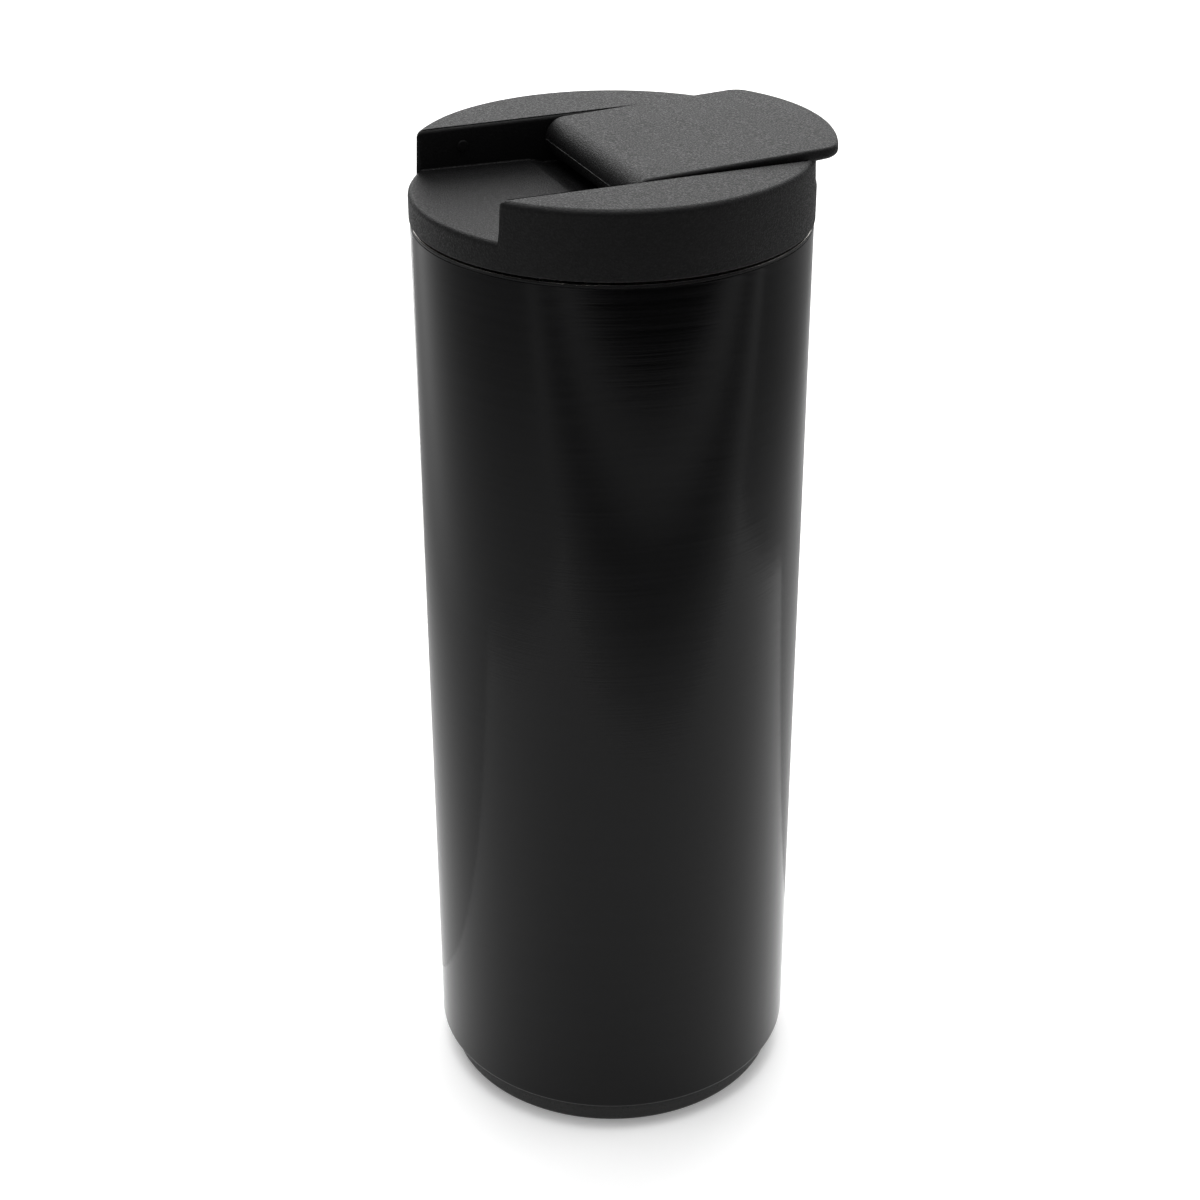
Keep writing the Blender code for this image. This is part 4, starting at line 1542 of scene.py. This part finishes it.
        def setback(first: Vector, last: Vector) -> float:
            """Only the end wall's long edges are rounded."""
            outside = all(p.x > step + 0.05 for p in (first, last))
            return self.tray_edge if outside and (first - last).xy.length > 0.01 else 0.0

        weigh_edges(bm, self.tray_edge, setback)
        blank = Blank("flap_base_tray", bm, self.tilted()).round_edges(self.tray_edge, 3)
        pocket = self.rounded_end(self.skirt_start + self.skirt_wall,
                                  self.skirt_half - self.skirt_wall, centre, inner, 0.8)
        blank.shape("DIFFERENCE", lofted([
            [(x, y, self.tray_bottom(x) - self.lid.overshoot) for x, y in pocket],
            [(x, y, top - self.web) for x, y in pocket]]))
        return deliver(blank.piece(self.palette.inner, 30.0), Body.FLAP, Slot.INNER, "flap_base")

    def ribs(self) -> bpy.types.Object:
        """The short ribs that stiffen the tray on both sides of the stopper."""
        under = self.lid.nose_radius - self.plate - self.gap - self.web
        half, length = self.rib_half
        foot = under - self.rib_depth
        section = rounded([(-half, under + 0.1), (-half, foot, 0.2), (half, foot, 0.2),
                           (half, under + 0.1)])
        rib = bmesh.new()
        for side in (-1, 1):
            part = extruded(section, length)
            bmesh.ops.translate(part, verts=part.verts, vec=(0.0, side * self.rib_offset * MM, 0.0))
            spare = bpy.data.meshes.new("rib_part")
            part.to_mesh(spare)
            part.free()
            rib.from_mesh(spare)
        bmesh.ops.recalc_face_normals(rib, faces=rib.faces)
        mesh = bpy.data.meshes.new("flap_rib")
        rib.to_mesh(mesh)
        rib.free()
        piece = self.shop.repeating.run("flap_base_ribs", mesh, Pitch=self.rib_pitch * MM,
                                        Count=self.rib_count, Finish=self.palette.inner)
        piece.data.transform(self.tilted() @ Matrix.Translation((self.rib_start * MM, 0.0, 0.0)))
        piece.data.set_sharp_from_angle(angle=math.radians(35.0))
        return deliver(piece, Body.FLAP, Slot.INNER)

    def under_web(self, x: float) -> float:
        """The height of the web's underside over the hinge axis, at a distance from it."""
        under = self.lid.nose_radius - self.plate - self.gap - self.web
        return under / math.cos(self.tilt) + x * math.tan(self.tilt)

    def stopper(self, name: str, node: str, half: Point2, centre: float,
                outline: Sequence[Sequence[float]], sides: int) -> bpy.types.Object:
        """A silicone stopper under the flap.

        Args:
            name: the piece's name.
            node: the frame's node that it stands for.
            half: the opening's half axes.
            centre: its distance from the hinge axis.
            outline: (offset from the opening's edge, height, rounding) from the top down.
            sides: the number of sides.

        Returns:
            The piece.
        """
        solid = around(half, centre, rounded(outline), sides)
        piece = Blank(name, solid, self.level()).piece(self.palette.seal)
        return deliver(piece, Body.FLAP, Slot.SEAL, node)

    def drink_stopper(self) -> bpy.types.Object:
        """The stopper that fills the drinking opening when the flap is closed."""
        lid, flange = self.lid, self.drink_flange
        centre, deck = lid.drink_x - lid.hinge.x, lid.deck_top - lid.hinge.z
        top = self.under_web(centre - lid.drink_half[0] - flange) - self.gap
        outline = [(flange - 0.4, top), (flange, top, 0.15), (flange, deck + self.gap, 0.3),
                   (-0.6, deck + self.gap, 0.1), (-0.6, deck - 0.6, 0.25), (-1.6, deck - 2.4, 0.5),
                   (-2.4, deck - 2.4)]
        return self.stopper("drink_stopper_soft", "drink_stopper", lid.drink_half, centre,
                            outline, 72)

    def vent_stopper(self) -> bpy.types.Object:
        """The small stopper that closes the vent."""
        lid, flange = self.lid, self.vent_flange
        centre, deck = lid.vent_x - lid.hinge.x, lid.deck_top - lid.hinge.z
        top = self.under_web(centre - lid.vent_radius - flange) - self.gap
        outline = [(flange - 0.3, top), (flange, top, 0.1), (flange, deck + self.gap, 0.2),
                   (-0.35, deck + self.gap), (-0.65, deck - 1.2, 0.2), (-1.1, deck - 1.2)]
        half = (lid.vent_radius, lid.vent_radius)
        return self.stopper("vent_stopper_soft", "vent_stopper", half, centre, outline, 36)


# --- the studio --------------------------------------------------------------------------------
@dataclass(frozen=True)
class Softbox:
    """A square light that faces the mug's upper half. Lengths are metres."""

    name: str
    place: Point3
    size: Point2
    power: float
    aim: Point3 = (0.0, 0.0, 0.15)

    def hang(self) -> None:
        """Put the light in the scene."""
        light = bpy.data.lights.new(self.name, "AREA")
        light.shape = "RECTANGLE"
        light.size, light.size_y = self.size
        light.energy = self.power
        holder = bpy.data.objects.new(self.name, light)
        holder.location = self.place
        direction = Vector(self.aim) - Vector(self.place)
        holder.rotation_euler = direction.to_track_quat("-Z", "Y").to_euler()
        holder.visible_camera = False
        bpy.context.collection.objects.link(holder)


@dataclass(frozen=True)
class Fade:
    """A soft change along one axis from the card's own glow to another. Lengths are metres."""

    axis: int
    start: float
    end: float
    glow: float


@dataclass(frozen=True)
class Card:
    """A level card on the floor that only shows in reflections. Lengths are metres."""

    name: str
    across: Point2
    along: Point2
    glow: float
    fades: tuple[Fade, ...] = ()
    height: float = 0.002

    def shade(self, graph: Graph) -> Optional[Wire]:
        """The glow over a card with fades, of which the strongest decides."""
        rise: Optional[Wire] = None
        for fade in self.fades:
            place = graph.add("ShaderNodeTexCoord", output="Object")
            across = graph.add("ShaderNodeSeparateXYZ", None, {0: place}, fade.axis)
            share = across.ramp(*sorted((fade.start, fade.end)))
            if fade.start > fade.end:
                share = 1.0 - share
            change = share * (fade.glow - self.glow)
            rise = change if rise is None else rise.maths("MAXIMUM", change)
        return None if rise is None else rise + self.glow

    def lay(self) -> None:
        """Put the card in the scene."""
        bm = bmesh.new()
        corners = [(self.across[i], self.along[j]) for i, j in ((0, 0), (1, 0), (1, 1), (0, 1))]
        bm.faces.new([bm.verts.new((x, y, self.height)) for x, y in corners])
        mesh = bpy.data.meshes.new(self.name)
        bm.to_mesh(mesh)
        bm.free()
        card = bpy.data.objects.new(self.name, mesh)
        finish = bpy.data.materials.new(self.name)
        finish.use_nodes = True
        finish.node_tree.nodes.clear()
        graph = Graph(finish.node_tree)
        shade = self.shade(graph)
        colour = (self.glow, self.glow, self.glow, 1.0) if shade is None else shade
        glow = graph.add("ShaderNodeEmission", None, {"Color": colour, "Strength": 1.0})
        end = finish.node_tree.nodes.new("ShaderNodeOutputMaterial")
        finish.node_tree.links.new(glow.socket, end.inputs[0])
        mesh.materials.append(finish)
        card.visible_camera = card.visible_diffuse = card.visible_shadow = False
        card.visible_transmission = card.visible_volume_scatter = False
        bpy.context.collection.objects.link(card)


@dataclass
class Studio:
    """The camera, the soft lights and the pale floor. Lengths are metres."""

    body_radius: float = 0.0365
    azimuth: float = math.radians(-22.8)
    elevation: float = math.radians(28.183)
    distance: float = 10.740
    height: float = 8.584
    focal: float = 67.95
    ambient: float = 0.28
    backdrop: float = 1.0
    near_glow: float = 0.22
    far_glow: float = 0.62
    near_reach: float = 0.45
    far_reach: float = 1.7
    floor_size: float = 12.0
    floor_tone: float = 0.93
    sensor: float = 36.0
    shift: float = -0.01

    def build(self) -> None:
        """Set up the camera, lights and floor."""
        self.camera()
        self.floor()
        self.world()
        for softbox in self.lights():
            softbox.hang()
        for card in self.cards():
            card.lay()
        bpy.context.scene.view_settings.view_transform = "Standard"

    def camera(self) -> None:
        """The camera above the front, looking down at the mug."""
        lens = bpy.data.cameras.new("camera")
        lens.lens = self.focal
        lens.sensor_width = self.sensor
        lens.shift_x = self.shift
        lens.clip_start = 0.01
        holder = bpy.data.objects.new("camera", lens)
        away = self.distance * self.body_radius
        holder.location = (away * math.sin(self.azimuth), -away * math.cos(self.azimuth),
                           self.height * self.body_radius)
        holder.rotation_euler = (math.pi / 2.0 - self.elevation, 0.0, self.azimuth)
        bpy.context.collection.objects.link(holder)
        bpy.context.scene.camera = holder

    def lights(self) -> list[Softbox]:
        """The softboxes."""
        return [
            Softbox("back_softbox", (0.52, 1.25, 0.95), (2.0, 1.3), 17.5),
            Softbox("left_strip", (-1.15, 0.35, 0.45), (0.35, 1.1), 1.5),
            Softbox("right_strip", (1.1, -0.25, 0.45), (0.35, 1.1), 1.5),
            Softbox("overhead_softbox", (0.0, 0.1, 1.6), (1.4, 1.4), 26.0),
        ]

    def cards(self) -> list[Card]:
        """The table's front edge and the dim room beyond it, as the coating reflects them."""
        return [
            Card("left_wing", (-1.8, -0.22), (-0.185, 1.8), 0.45, (Fade(0, -0.52, -0.22, 1.0),)),
            Card("left_back", (-0.22, 0.0), (0.03, 1.8), 0.5,
                 (Fade(1, 0.27, 0.03, 1.05), Fade(0, -0.10, -0.22, 1.0))),
            Card("right_wing", (0.25, 1.8), (-0.185, 1.8), 0.4, (Fade(0, 0.42, 0.25, 0.68),)),
            Card("right_back", (0.04, 0.25), (0.02, 1.8), 0.5,
                 (Fade(1, 0.20, 0.02, 0.8), Fade(0, 0.16, 0.25, 0.68))),
            Card("table_edge", (-1.6, 1.6), (-0.300, -0.185), 0.33,
                 (Fade(1, -0.275, -0.185, 1.05),)),
            Card("dim_room", (-1.6, 1.6), (-0.405, -0.300), 1.0, (Fade(1, -0.325, -0.300, 0.33),)),
            Card("dark_room", (-0.42, 0.56), (-2.6, -0.405), 0.0),
            Card("dim_room_left", (-3.0, -0.42), (-2.6, -0.405), 0.4),
            Card("dim_room_right", (0.56, 3.0), (-2.6, -0.405), 0.4),
        ]

    def floor(self) -> None:
        """A plain pale floor that runs out of sight."""
        bm = bmesh.new()
        bmesh.ops.create_grid(bm, x_segments=1, y_segments=1, size=self.floor_size)
        mesh = bpy.data.meshes.new("floor")
        bm.to_mesh(mesh)
        bm.free()
        floor = bpy.data.objects.new("floor", mesh)
        finish = bpy.data.materials.new("pale_floor")
        finish.use_nodes = True
        shader = finish.node_tree.nodes["Principled BSDF"]
        graph = Graph(finish.node_tree)
        place = graph.add("ShaderNodeTexCoord", output="Object")
        reach = graph.add("ShaderNodeVectorMath", {"operation": "LENGTH"}, {0: place}, "Value")
        glow = reach.ramp(self.near_reach, self.far_reach) * self.far_glow + self.near_glow
        finish.node_tree.links.new(glow.socket, shader.inputs["Emission Color"])
        shader.inputs["Emission Strength"].default_value = 1.0
        shader.inputs["Base Color"].default_value = (*[self.floor_tone] * 3, 1.0)
        shader.inputs["Roughness"].default_value = 0.9
        shader.inputs["Specular IOR Level"].default_value = 0.1
        mesh.materials.append(finish)
        bpy.context.collection.objects.link(floor)

    def world(self) -> None:
        """Even pale surroundings."""
        world = bpy.data.worlds.new("studio")
        world.use_nodes = True
        graph = Graph(world.node_tree)
        seen = graph.add("ShaderNodeLightPath", output="Is Camera Ray")
        strength = seen * (self.backdrop - self.ambient) + self.ambient
        background = world.node_tree.nodes["Background"]
        world.node_tree.links.new(strength.socket, background.inputs["Strength"])
        background.inputs["Color"].default_value = (1.0, 1.0, 1.0, 1.0)
        bpy.context.scene.world = world


def main() -> None:
    """Build the mug and the studio round it."""
    logging.basicConfig(level=logging.INFO, format="%(name)s: %(message)s")
    shop, palette = Workshop(), Palette()
    Vessel(shop, palette).build()
    lid = Lid(shop, palette)
    lid.build()
    Flap(lid).build()
    Studio().build()


if __name__ == "__main__":
    main()
